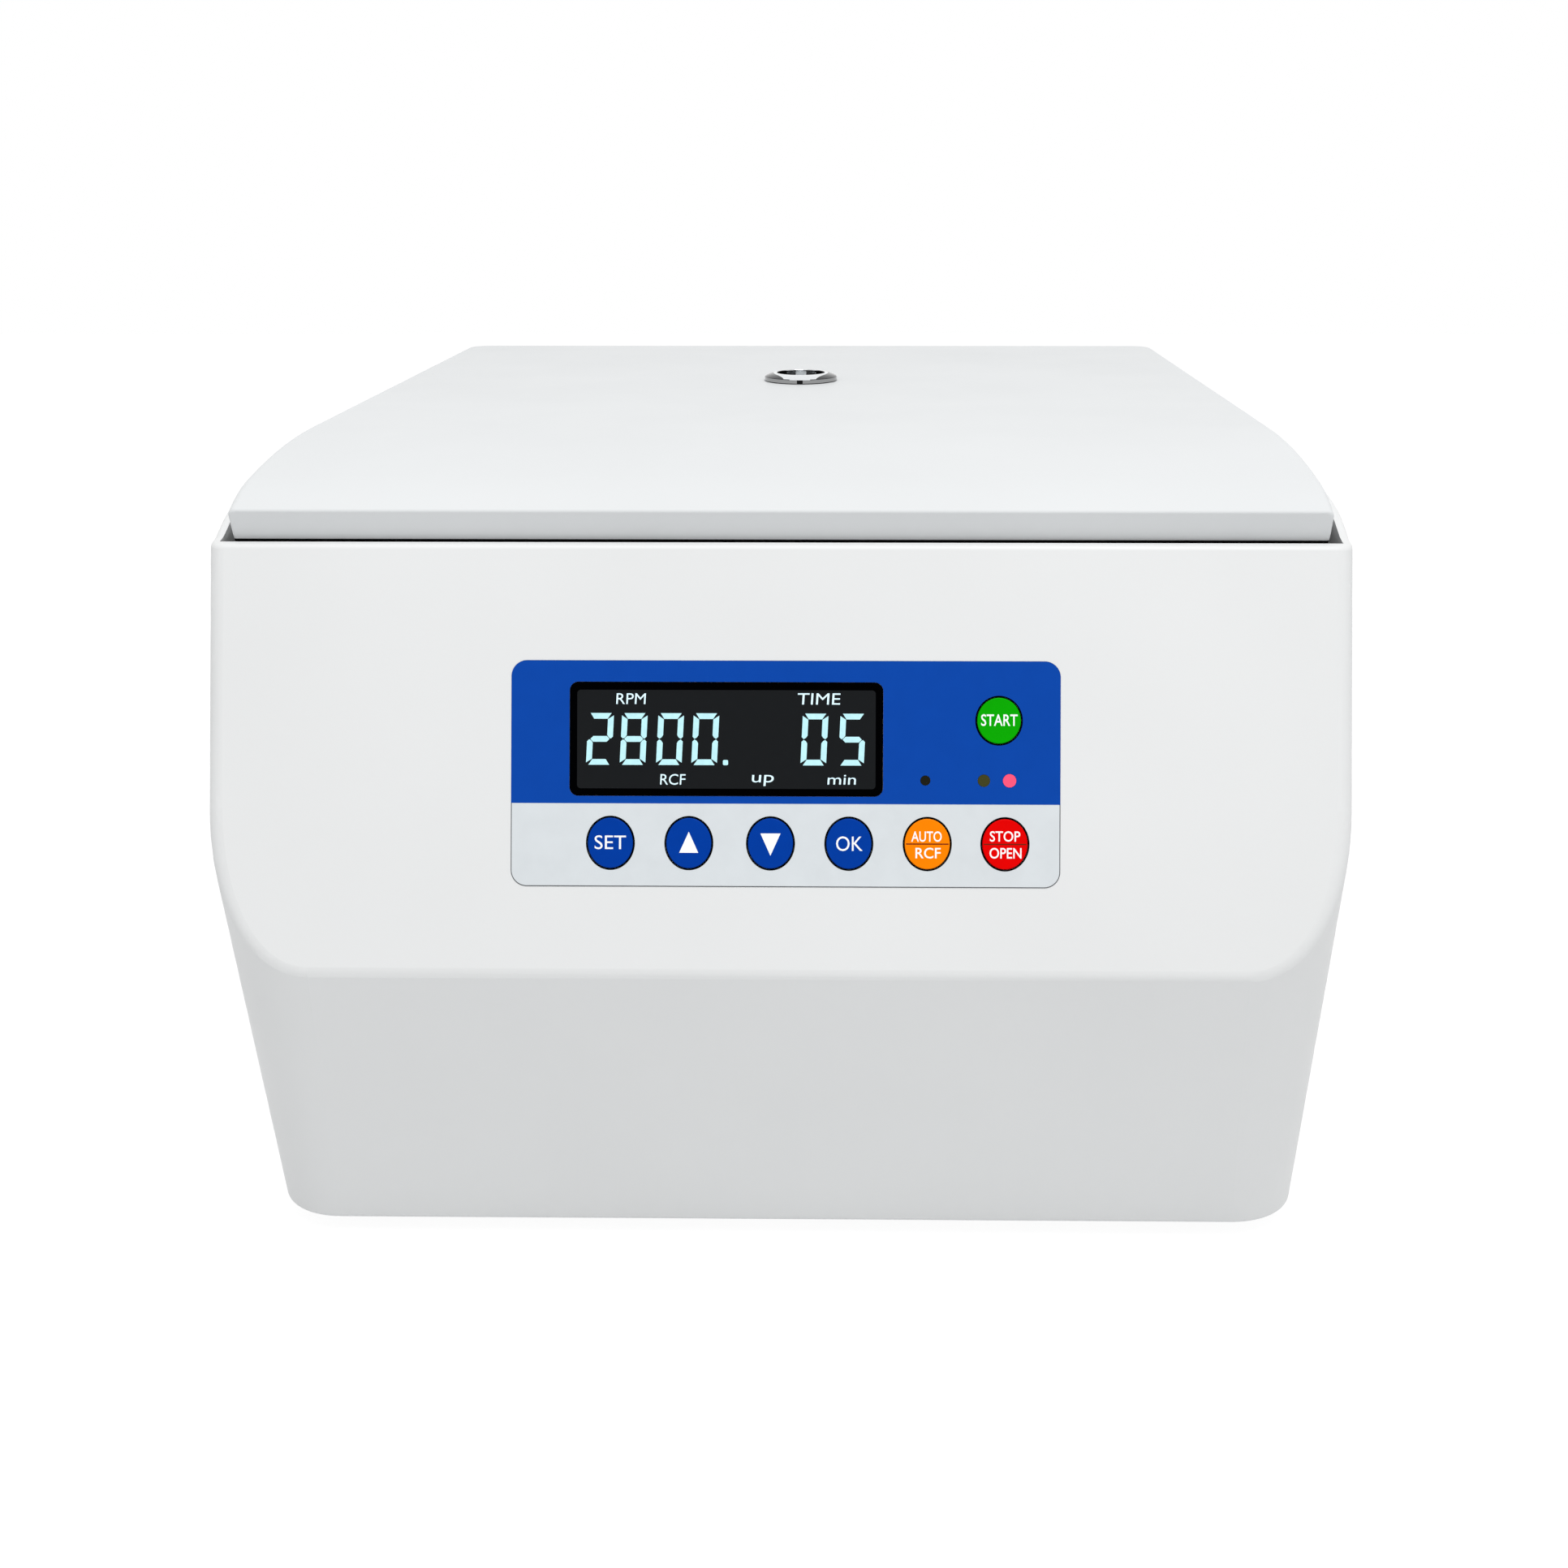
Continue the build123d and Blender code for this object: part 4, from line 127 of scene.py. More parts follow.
class Look:
    """One material, built from its shader upwards."""

    def __init__(self, name, colour, roughness, metallic=0.0, specular=0.5):
        self.material = bpy.data.materials.new(name)
        self.material.use_nodes = True
        self.tree = self.material.node_tree
        self.shader = self.tree.nodes["Principled BSDF"]
        self.colour = colour
        self.shader.inputs["Base Color"].default_value = colour
        self.shader.inputs["Roughness"].default_value = roughness
        self.shader.inputs["Metallic"].default_value = metallic
        self.shader.inputs["Specular IOR Level"].default_value = specular
        self.roughness = roughness
        self.place = self.add("ShaderNodeTexCoord").outputs["Object"]

    def add(self, kind, **settings):
        node = self.tree.nodes.new(kind)
        for name, value in settings.items():
            setattr(node, name, value)
        return node

    def link(self, source, target):
        self.tree.links.new(source, target)

    def noise(self, scale, detail=3.0, stretch=(1, 1, 1)):
        """Noise in the object's metres, drawn out along some axes."""
        mapping = self.add("ShaderNodeMapping")
        mapping.inputs["Scale"].default_value = stretch
        self.link(self.place, mapping.inputs["Vector"])
        node = self.add("ShaderNodeTexNoise")
        node.inputs["Scale"].default_value = scale
        node.inputs["Detail"].default_value = detail
        self.link(mapping.outputs["Vector"], node.inputs["Vector"])
        return node.outputs["Fac"]

    def spread(self, value, low, high):
        """The value's range drawn to low and high."""
        node = self.add("ShaderNodeMapRange")
        node.inputs["From Min"].default_value = 0.3
        node.inputs["From Max"].default_value = 0.7
        node.inputs["To Min"].default_value = low
        node.inputs["To Max"].default_value = high
        self.link(value, node.inputs["Value"])
        return node.outputs["Result"]

    def mottle(self, scale, share, stretch=(1, 1, 1)):
        """Colour that drifts lighter and darker by a share."""
        mix = self.add("ShaderNodeMix", data_type="RGBA")
        light = [min(1.0, part * (1 + share)) for part in self.colour[:3]]
        dark = [part * (1 - share) for part in self.colour[:3]]
        mix.inputs["A"].default_value = (*dark, 1)
        mix.inputs["B"].default_value = (*light, 1)
        self.link(self.spread(self.noise(scale, 4, stretch), 0, 1), mix.inputs["Factor"])
        self.link(mix.outputs["Result"], self.shader.inputs["Base Color"])
        return mix.outputs["Result"]

    def reckon(self, operation, *values):
        return reckoned(self.tree, operation, *values)

    def split(self, vector):
        """The x, y and z of a vector."""
        node = self.add("ShaderNodeSeparateXYZ")
        self.link(vector, node.inputs[0])
        return node.outputs["X"], node.outputs["Y"], node.outputs["Z"]

    def length(self, first, second):
        """How long the line is that runs this far along two axes."""
        squares = [self.reckon("MULTIPLY", part, part) for part in (first, second)]
        return self.reckon("SQRT", self.reckon("ADD", *squares))

    def height_over(self, rise):
        """Height above a plane through the origin that rises to the rear."""
        node = self.add("ShaderNodeVectorMath", operation="DOT_PRODUCT")
        node.inputs[1].default_value = (0, -rise, 1)
        self.link(self.place, node.inputs[0])
        return node.outputs["Value"]

    def overlay(self, share, colour):
        """Another colour laid over the first where the share is 1."""
        mix = self.add("ShaderNodeMix", data_type="RGBA")
        self.link(self.shader.inputs["Base Color"].links[0].from_socket, mix.inputs["A"])
        mix.inputs["B"].default_value = colour
        self.link(share, mix.inputs["Factor"])
        self.link(mix.outputs["Result"], self.shader.inputs["Base Color"])

    def handled(self, scale, share, stretch=(1, 1, 1)):
        """Roughness that varies where hands and cloths have been."""
        low = self.roughness * (1 - share)
        high = min(1.0, self.roughness * (1 + share))
        value = self.spread(self.noise(scale, 2, stretch), low, high)
        self.link(value, self.shader.inputs["Roughness"])

    def grain(self, scale, depth, stretch=(1, 1, 1), detail=2.0):
        """A fine relief of the surface, depth in metres."""
        bump = self.add("ShaderNodeBump")
        bump.inputs["Strength"].default_value = 1
        bump.inputs["Distance"].default_value = depth
        self.link(self.noise(scale, detail, stretch), bump.inputs["Height"])
        self.link(bump.outputs["Normal"], self.shader.inputs["Normal"])


def moulded(name, colour, roughness=0.42, grain_depth=0.000012, specular=0.35):
    """Moulded plastic: a fine spark-eroded grain and a faint drift of tone."""
    look = Look(name, colour, roughness, specular=specular)
    look.mottle(9, 0.012)
    look.handled(24, 0.12)
    look.grain(1700, grain_depth)
    return look


def coated(name, colour, roughness=0.5):
    """Powder-coated sheet with its orange-peel skin."""
    look = Look(name, colour, roughness, specular=0.4)
    look.mottle(30, 0.02)
    look.handled(60, 0.15)
    look.grain(900, 0.00003)
    return look


def brushed(name, colour, roughness=0.32, stretch=(0.02, 0.02, 1)):
    """Metal brushed along its long direction."""
    look = Look(name, colour, roughness, metallic=1.0)
    look.mottle(700, 0.06, stretch)
    look.handled(500, 0.25, stretch)
    look.grain(1200, 0.000006, stretch)
    return look


def cast(name, colour, roughness=0.45):
    """Blasted and anodised aluminium."""
    look = Look(name, colour, roughness, metallic=0.9)
    look.mottle(220, 0.05)
    look.handled(80, 0.2)
    look.grain(2600, 0.00002)
    return look


def turned(name, colour, roughness=0.22):
    """Machined steel with fine tool lines round and along it."""
    look = Look(name, colour, roughness, metallic=1.0)
    look.mottle(160, 0.04)
    look.handled(900, 0.3, (1, 1, 0.1))
    look.grain(2400, 0.000004, (1, 0.1, 1))
    return look


def rubber(name, colour, roughness=0.75):
    look = Look(name, colour, roughness, specular=0.3)
    look.mottle(60, 0.15)
    look.handled(90, 0.1)
    look.grain(1500, 0.00004)
    return look


def enamel(name, colour, roughness=0.34, specular=0.04):
    """Smooth coloured plastic of the keys and lenses."""
    look = Look(name, colour, roughness, specular=specular)
    look.mottle(220, 0.03)
    look.handled(300, 0.15)
    look.grain(2600, 0.000006)
    return look


def printed(name, colour, roughness=0.4, specular=0.08):
    """Ink on the panel's film, slightly uneven in tone."""
    look = Look(name, colour, roughness, specular=specular)
    look.mottle(120, 0.02)
    look.handled(140, 0.1)
    look.grain(1800, 0.000005)
    return look


def lit(name, colour, strength):
    """A lit figure or lens behind its glass."""
    look = Look(name, colour, 0.4, specular=0.1)
    shade = look.mottle(500, 0.05)
    look.handled(200, 0.1)
    look.link(shade, look.shader.inputs["Emission Color"])
    look.shader.inputs["Emission Strength"].default_value = strength
    return look


def board(name):
    """Green solder mask over copper tracks."""
    look = Look(name, linear(16, 92, 48), 0.35)
    tracks = look.add("ShaderNodeTexBrick")
    tracks.inputs["Scale"].default_value = 60
    tracks.inputs["Color1"].default_value = linear(16, 92, 48)
    tracks.inputs["Color2"].default_value = linear(20, 104, 56)
    tracks.inputs["Mortar"].default_value = linear(44, 132, 74)
    tracks.inputs["Mortar Size"].default_value = 0.03
    look.link(look.place, tracks.inputs["Vector"])
    look.link(tracks.outputs["Color"], look.shader.inputs["Base Color"])
    look.handled(300, 0.2)
    look.grain(1200, 0.00002)
    return look


def laminated(name):
    """Stacked iron sheets of the motor, seen at their edges."""
    look = Look(name, linear(96, 88, 82), 0.55, metallic=0.8)
    look.mottle(120, 0.2)
    look.handled(200, 0.2)
    look.grain(2000, 0.00004, (0.02, 0.02, 1), 0)
    return look


def black_banded(name, colour):
    """Moulded plastic that turns black below a line near the lower edge of its skirt, down in the gap
    under the rim.
    """
    look = moulded(name, colour, specular=0.04)
    below = [
        look.reckon("LESS_THAN", look.height_over(rise), height - rise * depth)
        for depth, height, rise in black_band_lines
    ]
    # The skirt's colour turns near-black below both lines
    look.overlay(look.reckon("MULTIPLY", *below), linear(14, 14, 15))
    return look


def switch_marked(name, colour):
    """Black plastic, with the I and O of the power rocker printed on its two ends."""
    look = moulded(name, colour, roughness=0.5, grain_depth=0.00003)
    x, y, z = look.split(look.place)
    aside = look.reckon("SUBTRACT", x, rocker_middle.x)
    bar_up = look.reckon("SUBTRACT", z, rocker_middle.z + rocker_mark_rise)
    circle_up = look.reckon("SUBTRACT", z, rocker_middle.z - rocker_mark_rise)
    bar = look.reckon("MULTIPLY", *[
        look.reckon("LESS_THAN", look.reckon("ABSOLUTE", part), half)
        for part, half in zip((aside, bar_up), rocker_bar)
    ])
    off_circle = look.reckon("SUBTRACT", look.length(aside, circle_up), rocker_circle_radius)
    circle = look.reckon("LESS_THAN", look.reckon("ABSOLUTE", off_circle), rocker_circle_half_line)
    on_face = look.reckon("GREATER_THAN", y, rocker_middle.y)
    marks = look.reckon("MULTIPLY", look.reckon("MAXIMUM", bar, circle), on_face)
    look.overlay(marks, linear(232, 233, 234))
    return look


def painted_reflection_chrome(name):
    """Bright chrome with painted reflections of a dark room (grey crescent patches, a grey outer side,
    dark inner sides, a dark front patch) and a painted shadow at its base.
    """
    look = Look(name, linear(232, 235, 237), 0.07, metallic=1.0)
    look.mottle(900, 0.03)
    look.handled(400, 0.3)
    look.grain(900, 0.000002)
    normal_x, normal_y, normal_z = look.split(look.add("ShaderNodeTexCoord").outputs["Normal"])
    x, y, _ = look.split(look.place)
    aside = look.reckon("ABSOLUTE", normal_x)
    upright = look.reckon("LESS_THAN", normal_z, ring_flat_share)
    level = look.reckon("GREATER_THAN", normal_z, ring_flat_share)
    reach = look.length(x, look.reckon("SUBTRACT", y, ring_middle.y))
    outside = look.reckon("GREATER_THAN", reach, ring_band_inner)
    inside = look.reckon("LESS_THAN", reach, ring_band_inner)

    # Painted reflection: the ring's upright outer side is painted grey
    painted_band_reflection = look.reckon("MULTIPLY", upright, outside)
    look.overlay(painted_band_reflection, linear(160, 160, 160))
    # Painted reflections: dark crescent-shaped patches on the flat top where the normal leans sideways
    painted_crescent_reflections = look.reckon("MULTIPLY", level, look.reckon("GREATER_THAN", aside, ring_crescent_share))
    look.overlay(painted_crescent_reflections, linear(70, 71, 72))
    # Painted reflections: dark patches on the upright inner sides where the normal leans sideways
    hollow_sides = look.reckon("GREATER_THAN", aside, ring_hollow_share)
    painted_hollow_reflections = look.reckon("MULTIPLY", look.reckon("MULTIPLY", upright, inside), hollow_sides)
    look.overlay(painted_hollow_reflections, linear(60, 61, 62))
    # Painted shadow: the ring's base below a plane is painted near-black
    painted_base_shadow = look.reckon("LESS_THAN", look.height_over(roof_rise), ring_shadow_height)
    look.overlay(painted_base_shadow, linear(52, 52, 53))
    # Painted reflection: a near-black patch on the outer side that faces the front
    front = look.reckon("LESS_THAN", normal_y, ring_front_share)
    painted_front_reflection = look.reckon("MULTIPLY", look.reckon("LESS_THAN", aside, ring_tab_share), front)
    look.overlay(look.reckon("MULTIPLY", painted_front_reflection, outside), linear(30, 30, 31))
    return look


def clear(name):
    """Clear moulded window, faintly scuffed."""
    look = Look(name, linear(236, 240, 242), 0.06)
    look.shader.inputs["Transmission Weight"].default_value = 1
    look.shader.inputs["IOR"].default_value = 1.45
    look.handled(90, 0.5)
    look.grain(300, 0.000004)
    return look


looks = {
    "shell_white": moulded("shell_white", linear(227, 228, 228)),
    "lid_white": black_banded("lid_white", linear(222, 224, 225)),
    "steel_sheet": brushed("steel_sheet", linear(176, 178, 180)),
    "coated_sheet": coated("coated_sheet", linear(222, 224, 225)),
    "stainless": brushed("stainless", linear(196, 198, 200), roughness=0.25),
    "aluminium_cast": cast("aluminium_cast", linear(190, 192, 194)),
    "aluminium_dark": cast("aluminium_dark", linear(52, 54, 57), roughness=0.4),
    "rubber_black": rubber("rubber_black", linear(34, 34, 35)),
    "rubber_grey": rubber("rubber_grey", linear(98, 100, 102)),
    "chrome_ring": painted_reflection_chrome("chrome_ring"),
    "clear_window": clear("clear_window"),
    "overlay_film": printed("overlay_film", linear(215, 220, 223)),
    "display_glass": enamel("display_glass", linear(22, 24, 26), roughness=0.12, specular=0.06),
    "black_plastic": switch_marked("black_plastic", linear(28, 28, 29)),
    "board_green": board("board_green"),
    "key_blue": enamel("key_blue", linear(0, 58, 156)),
    "key_orange": enamel("key_orange", linear(255, 132, 0)),
    "key_red": enamel("key_red", linear(226, 0, 0)),
    "key_green": enamel("key_green", linear(8, 166, 0)),
    "led_lens": enamel("led_lens", linear(40, 38, 22), specular=0.1),
    "steel_machined": turned("steel_machined", linear(184, 185, 187)),
    "stator_iron": laminated("stator_iron"),
    "screw_steel": turned("screw_steel", linear(170, 172, 174), roughness=0.3),
}

for subpart in frame["record"]["subparts"]:
    node = frame["nodes"][subpart["node"]]
    look = looks[subpart["material_slot"]]
    node.data.materials.clear()
    node.data.materials.append(look.material)

# Looks of the print, which stand beside their slots
ink_blue = printed("ink_blue", linear(14, 70, 165), specular=0.02)
ink_black = printed("ink_black", linear(2, 2, 3), roughness=0.6, specular=0.0)
ink_edge = printed("ink_edge", linear(88, 90, 94))
ink_white = printed("ink_white", linear(250, 252, 252))
ink_split = printed("ink_split", linear(110, 30, 10))
ink_label = lit("ink_label", linear(214, 240, 250), 0.2)
figure_glow = lit("figure_glow", linear(171, 214, 220), 0.35)
lamp_off = enamel("lamp_off", linear(26, 26, 16), specular=0.05)
lamp_olive = enamel("lamp_olive", linear(64, 64, 30), specular=0.05)
lamp_pink = lit("lamp_pink", linear(252, 78, 112), 0.25)

# ---------------------------------------------------------------- thin printed shapes
round_steps = 10
ellipse_steps = 72


def rounded(left, right, low, high, radius, corners=(True, True, True, True)):
    """Corners run lower left, lower right, upper right, upper left."""
    centres = (
        (left + radius, low + radius, pi), (right - radius, low + radius, 1.5 * pi),
        (right - radius, high - radius, 0), (left + radius, high - radius, 0.5 * pi),
    )
    sharp = ((left, low), (right, low), (right, high), (left, high))
    outline = []
    for (x, y, start), corner, is_round in zip(centres, sharp, corners):
        if not is_round:
            outline.append(corner)
            continue
        for step in range(round_steps + 1):
            turn = start + step / round_steps * pi / 2
            outline.append((x + radius * cos(turn), y + radius * sin(turn)))
    return outline


def ellipse(x, y, half_width, half_height):
    turns = [2 * pi * step / ellipse_steps for step in range(ellipse_steps)]
    return [(x + half_width * cos(turn), y + half_height * sin(turn)) for turn in turns]


def settle(name, holder, look, body, place):
    """Turns a curve or text into a mesh in its place, riding on a body."""
    bpy.context.scene.collection.objects.link(holder)
    bpy.context.view_layer.update()
    solid = holder.evaluated_get(bpy.context.evaluated_depsgraph_get())
    mesh = bpy.data.meshes.new_from_object(solid)
    bpy.data.objects.remove(holder)
    mesh.transform(place)
    mesh.materials.clear()
    mesh.materials.append(look.material)
    piece = bpy.data.objects.new(name, mesh)
    bpy.context.scene.collection.objects.link(piece)
    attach(piece, body)
    return piece


def print_shape(name, outlines, bottom, top, look, body="chassis"):
    """Filled outlines on the panel, as thick as the ink: outlines inside others are holes."""
    curve = bpy.data.curves.new(name, "CURVE")
    curve.dimensions = "2D"
    curve.fill_mode = "BOTH"
    curve.extrude = (top - bottom) / 2
    for outline in outlines:
        spline = curve.splines.new("POLY")
        spline.points.add(len(outline) - 1)
        for point, (x, y) in zip(spline.points, outline):
            point.co = (x, y, 0, 1)
        spline.use_cyclic_u = True
    holder = bpy.data.objects.new(name + "_line", curve)
    place = panel @ Matrix.Translation((0, 0, (top + bottom) / 2))
    return settle(name, holder, look, body, place)


def print_text(
    name, words, centre, size, bottom, top, look, body="chassis", weight=0.0, shear=0.0
):
    """Lettering fitted to a width and height about its centre."""
    text = bpy.data.curves.new(name, "FONT")
    text.body = words
    text.size = 1
    text.extrude = 0.01
    text.offset = weight
    text.shear = shear
    text.resolution_u = 4
    holder = bpy.data.objects.new(name + "_line", text)
    piece = settle(name, holder, look, body, Matrix.Identity(4))
    low = [min(vertex.co[axis] for vertex in piece.data.vertices) for axis in range(3)]
    high = [max(vertex.co[axis] for vertex in piece.data.vertices) for axis in range(3)]
    wanted = (*size, top - bottom)
    scales = [wanted[axis] / (high[axis] - low[axis]) for axis in range(3)]
    middle = [(low[axis] + high[axis]) / 2 for axis in range(3)]
    fit = (
        panel
        @ Matrix.Translation((*centre, (top + bottom) / 2))
        @ Matrix.Diagonal((*scales, 1))
        @ Matrix.Translation([-part for part in middle])
    )
    piece.data.transform(fit)
    return piece


# ---------------------------------------------------------------- panel print
ink = 0.04 * MM
film_left, film_right, _, film_top, _ = panel_reach("control_overlay")
film_round = 6 * MM
edge_line = 0.25 * MM
blue_low = 31.7 * MM
key_clearance = 0.3 * MM
key_ring = 0.45 * MM
lens_clearance = 0.1 * MM
# Painted shade: black rings down in the gaps round the keys. Inner and outer reach, top and bottom
# depth
gap_shade_inner = 0.04 * MM
gap_shade_outer = 0.29 * MM
gap_shade_top = 0.12 * MM
gap_shade_bottom = 0.4 * MM

window_left, window_right, window_low, window_top, window_face = panel_reach("display_window")
window_round = 3.4 * MM
seat_gap = 0.1 * MM

shank_depth = 1.5 * MM
shank_from_face = 0.1 * MM
key_names = ("set", "up", "down", "ok", "auto", "stop", "start")
keys = {}
for key_name in key_names:
    vertices = frame["nodes"][f"key_{key_name}"].data.vertices
    places = [on_panel(vertex.co) for vertex in vertices]
    key_face = max(place[2] for place in places)
    shank = [place for place in places if -shank_depth < place[2] < key_face - shank_from_face]
    left, right = min(place[0] for place in shank), max(place[0] for place in shank)
    low, high = min(place[1] for place in shank), max(place[1] for place in shank)
    keys[key_name] = {
        "centre": ((left + right) / 2, (low + high) / 2),
        "half": ((right - left) / 2, (high - low) / 2),
        "face": key_face,
    }


def key_outline(key, grow):
    return ellipse(*key["centre"], key["half"][0] + grow, key["half"][1] + grow)


# The three lamps are one node: their tips are parted where a gap in x shows
lens_parting = 2 * MM
lens_places = []
tips = [on_panel(vertex.co) for vertex in frame["nodes"]["indicator_leds"].data.vertices]
tip_out = max(tip[2] for tip in tips)
tips = sorted(tip for tip in tips if tip[2] > tip_out - face_slack)
group = [tips[0]]
for tip in tips[1:] + [None]:
    if tip is None or tip[0] - group[-1][0] > lens_parting:
        left, right = group[0][0], group[-1][0]
        low, high = min(place[1] for place in group), max(place[1] for place in group)
        lens_places.append(((left + right) / 2, (low + high) / 2, (right - left) / 2))
        group = []
    group.append(tip)

blue_edge = rounded(
    film_left, film_right, blue_low, film_top, film_round, (False, False, True, True)
)
window_hole = rounded(
    window_left - seat_gap, window_right + seat_gap,
    window_low - seat_gap, window_top + seat_gap, window_round,
)
lens_holes = [
    ellipse(x, up, radius + lens_clearance, radius + lens_clearance) for x, up, radius in lens_places
]
print_shape(
    "panel_field_blue",
    [blue_edge, window_hole, key_outline(keys["start"], key_clearance)] + lens_holes,
    0, ink, ink_blue,
)
grey_edge = rounded(film_left, film_right, 0, blue_low, film_round, (True, True, False, False))
grey_inner = rounded(
    film_left + edge_line, film_right - edge_line, edge_line, blue_low,
    film_round - edge_line, (True, True, False, False),
)
# Both runs go from the left end of the blue's lower edge, down, across and up to its right end
outer_run = grey_edge[-1:] + grey_edge[:-1]
inner_run = grey_inner[-1:] + grey_inner[:-1]
print_shape("panel_edge_line", [outer_run + inner_run[::-1]], 0, ink, ink_edge)
rings = []
for key in keys.values():
    rings += [key_outline(key, key_clearance + key_ring), key_outline(key, key_clearance)]
print_shape("key_surrounds", rings, 0, 2 * ink, ink_black)
# Painted shade: black rings sunk in the key gaps, where the gaps lie in shadow
painted_gap_shades = []
for key in keys.values():
    painted_gap_shades += [key_outline(key, gap_shade_outer), key_outline(key, gap_shade_inner)]
print_shape("key_gap_shades_painted", painted_gap_shades, -gap_shade_bottom, -gap_shade_top, ink_black)

# Black border printed round the display's glass
border_side = 2.8 * MM
border_top = 3.0 * MM
glass_round = 1.4 * MM
print_shape(
    "display_border",
    [
        rounded(window_left, window_right, window_low, window_top, window_round - seat_gap),
        rounded(
            window_left + border_side, window_right - border_side, window_low + border_side,
            window_top - border_top, glass_round,
        ),
    ],
    window_face, window_face + ink, ink_black,
)

# ---------------------------------------------------------------- display figures
figure_width = 9.8 * MM
figure_height = 19.8 * MM
figure_stroke = 2.2 * MM
figure_gap = 0.14 * MM
figure_corner = 0.75 * MM
figure_slant = tan(radians(2.6))
figure_low = 46.4 * MM
segments_lit = {"0": "abcdef", "2": "abged", "5": "afgcd", "8": "abcdefg"}


def top_bar():
    w, h, t, g, c = figure_width, figure_height, figure_stroke, figure_gap, figure_corner
    return [(c + g, h), (w - c - g, h), (w - t - g, h - t), (t + g, h - t)]


def upper_left_bar():
    h, t, g, c = figure_height, figure_stroke, figure_gap, figure_corner
    middle = h / 2 + g
    return [
        (0.0, h - c - g), (t, h - t - g), (t, middle + 0.62 * t), (0.72 * t, middle + 0.2 * t),
        (0.35 * t, middle), (0.0, middle + 0.35 * t),
    ]


def middle_bar():
    w, h, t, g = figure_width, figure_height, figure_stroke, figure_gap
    inner = 1.05 * t
    tip = 0.5 * t + g
    return [
        (tip, h / 2), (inner, h / 2 + t / 2), (w - inner, h / 2 + t / 2),
        (w - tip, h / 2), (w - inner, h / 2 - t / 2), (inner, h / 2 - t / 2),
    ]


def mirrored(outline, flip_x, flip_y):
    return [
        (figure_width - x if flip_x else x, figure_height - y if flip_y else y) for x, y in outline
    ]


segment_shapes = {
    "a": top_bar(),
    "b": mirrored(upper_left_bar(), True, False),
    "c": mirrored(upper_left_bar(), True, True),
    "d": mirrored(top_bar(), False, True),
    "e": mirrored(upper_left_bar(), False, True),
    "f": upper_left_bar(),
    "g": middle_bar(),
}


def figure(character, left):
    """Outlines of one leaning seven-segment figure."""
    return [
        [(left + x + y * figure_slant, figure_low + y) for x, y in segment_shapes[segment]]
        for segment in segments_lit[character]
    ]


figure_places = (
    ("2", -73.5), ("8", -60.6), ("0", -46.7), ("0", -33.2), ("0", 8.5), ("5", 22.9),
)
figure_outlines = []
for character, left in figure_places:
    figure_outlines += figure(character, left * MM)
point_left, point_side, point_round = -21.1 * MM, 2.0 * MM, 0.5 * MM
figure_outlines.append(rounded(
    point_left, point_left + point_side, figure_low, figure_low + point_side, point_round,
))
print_shape(
    "display_figures", figure_outlines,
    window_face + ink / 2, window_face + ink, figure_glow,
)

display_labels = (
    ("label_speed", "RPM", (-56.3, 71.7), (11.4, 4.1)),
    ("label_time", "TIME", (15.6, 71.8), (16.3, 4.3)),
    ("label_force", "RCF", (-40.2, 40.9), (9.8, 4.1)),
    ("label_step", "up", (-5.8, 40.6), (8.4, 4.2)),
    ("label_minutes", "min", (24.3, 41.0), (10.9, 3.7)),
)
for name, words, centre, size in display_labels:
    print_text(
        name, words, [part * MM for part in centre], [part * MM for part in size],
        window_face + ink / 2, window_face + ink, ink_label, shear=0.05,
    )

# ---------------------------------------------------------------- key legends
legend_bottom = -0.01 * MM
legend_top = 0.05 * MM


def legend_on(key_name, words, offset, size, weight=0.0):
    """A white legend that goes in with its key."""
    key = keys[key_name]
    centre = (key["centre"][0] + offset[0] * MM, key["centre"][1] + offset[1] * MM)
    print_text(
        f"legend_{key_name}_{words.lower()}", words, centre, [part * MM for part in size],
        key["face"] + legend_bottom, key["face"] + legend_top, ink_white,
        body=f"key_{key_name}", weight=weight,
    )


legend_on("set", "SET", (0.0, 0.2), (12.0, 5.3))
legend_on("ok", "OK", (0.2, 0.0), (10.1, 5.6))
legend_on("auto", "AUTO", (-0.3, 2.85), (11.6, 4.0), weight=0.01)
legend_on("auto", "RCF", (0.3, -3.45), (9.6, 4.1), weight=0.01)
legend_on("stop", "STOP", (0.0, 3.0), (11.6, 4.0), weight=0.01)
legend_on("stop", "OPEN", (0.2, -3.4), (12.2, 4.1), weight=0.01)
legend_on("start", "START", (0.1, 0.2), (13.9, 4.5), weight=0.01)


def arrow_on(key_name, half_width, low, high):
    """A white triangle; it points up where low is less than high."""
    key = keys[key_name]
    x, up = key["centre"]
    outline = [(x - half_width, up + low), (x + half_width, up + low), (x, up + high)]
    print_shape(
        f"legend_{key_name}_arrow", [outline],
        key["face"] + legend_bottom, key["face"] + legend_top,
        ink_white, body=f"key_{key_name}",
    )


arrow_on("up", 3.65 * MM, -3.7 * MM, 4.35 * MM)
arrow_on("down", 3.85 * MM, 3.8 * MM, -4.7 * MM)

# The line that parts a key's two words
parting_inset = 0.5 * MM
parting_below, parting_above = 0.25 * MM, 0.2 * MM
for key_name in ("auto", "stop"):
    key = keys[key_name]
    x, up = key["centre"]
    reach = key["half"][0] - parting_inset
    low, high = up - parting_below, up + parting_above
    line = [(x - reach, low), (x + reach, low), (x + reach, high), (x - reach, high)]
    print_shape(
        f"legend_{key_name}_line", [line],
        key["face"] + legend_bottom, key["face"] + legend_top / 2,
        ink_split, body=f"key_{key_name}",
    )

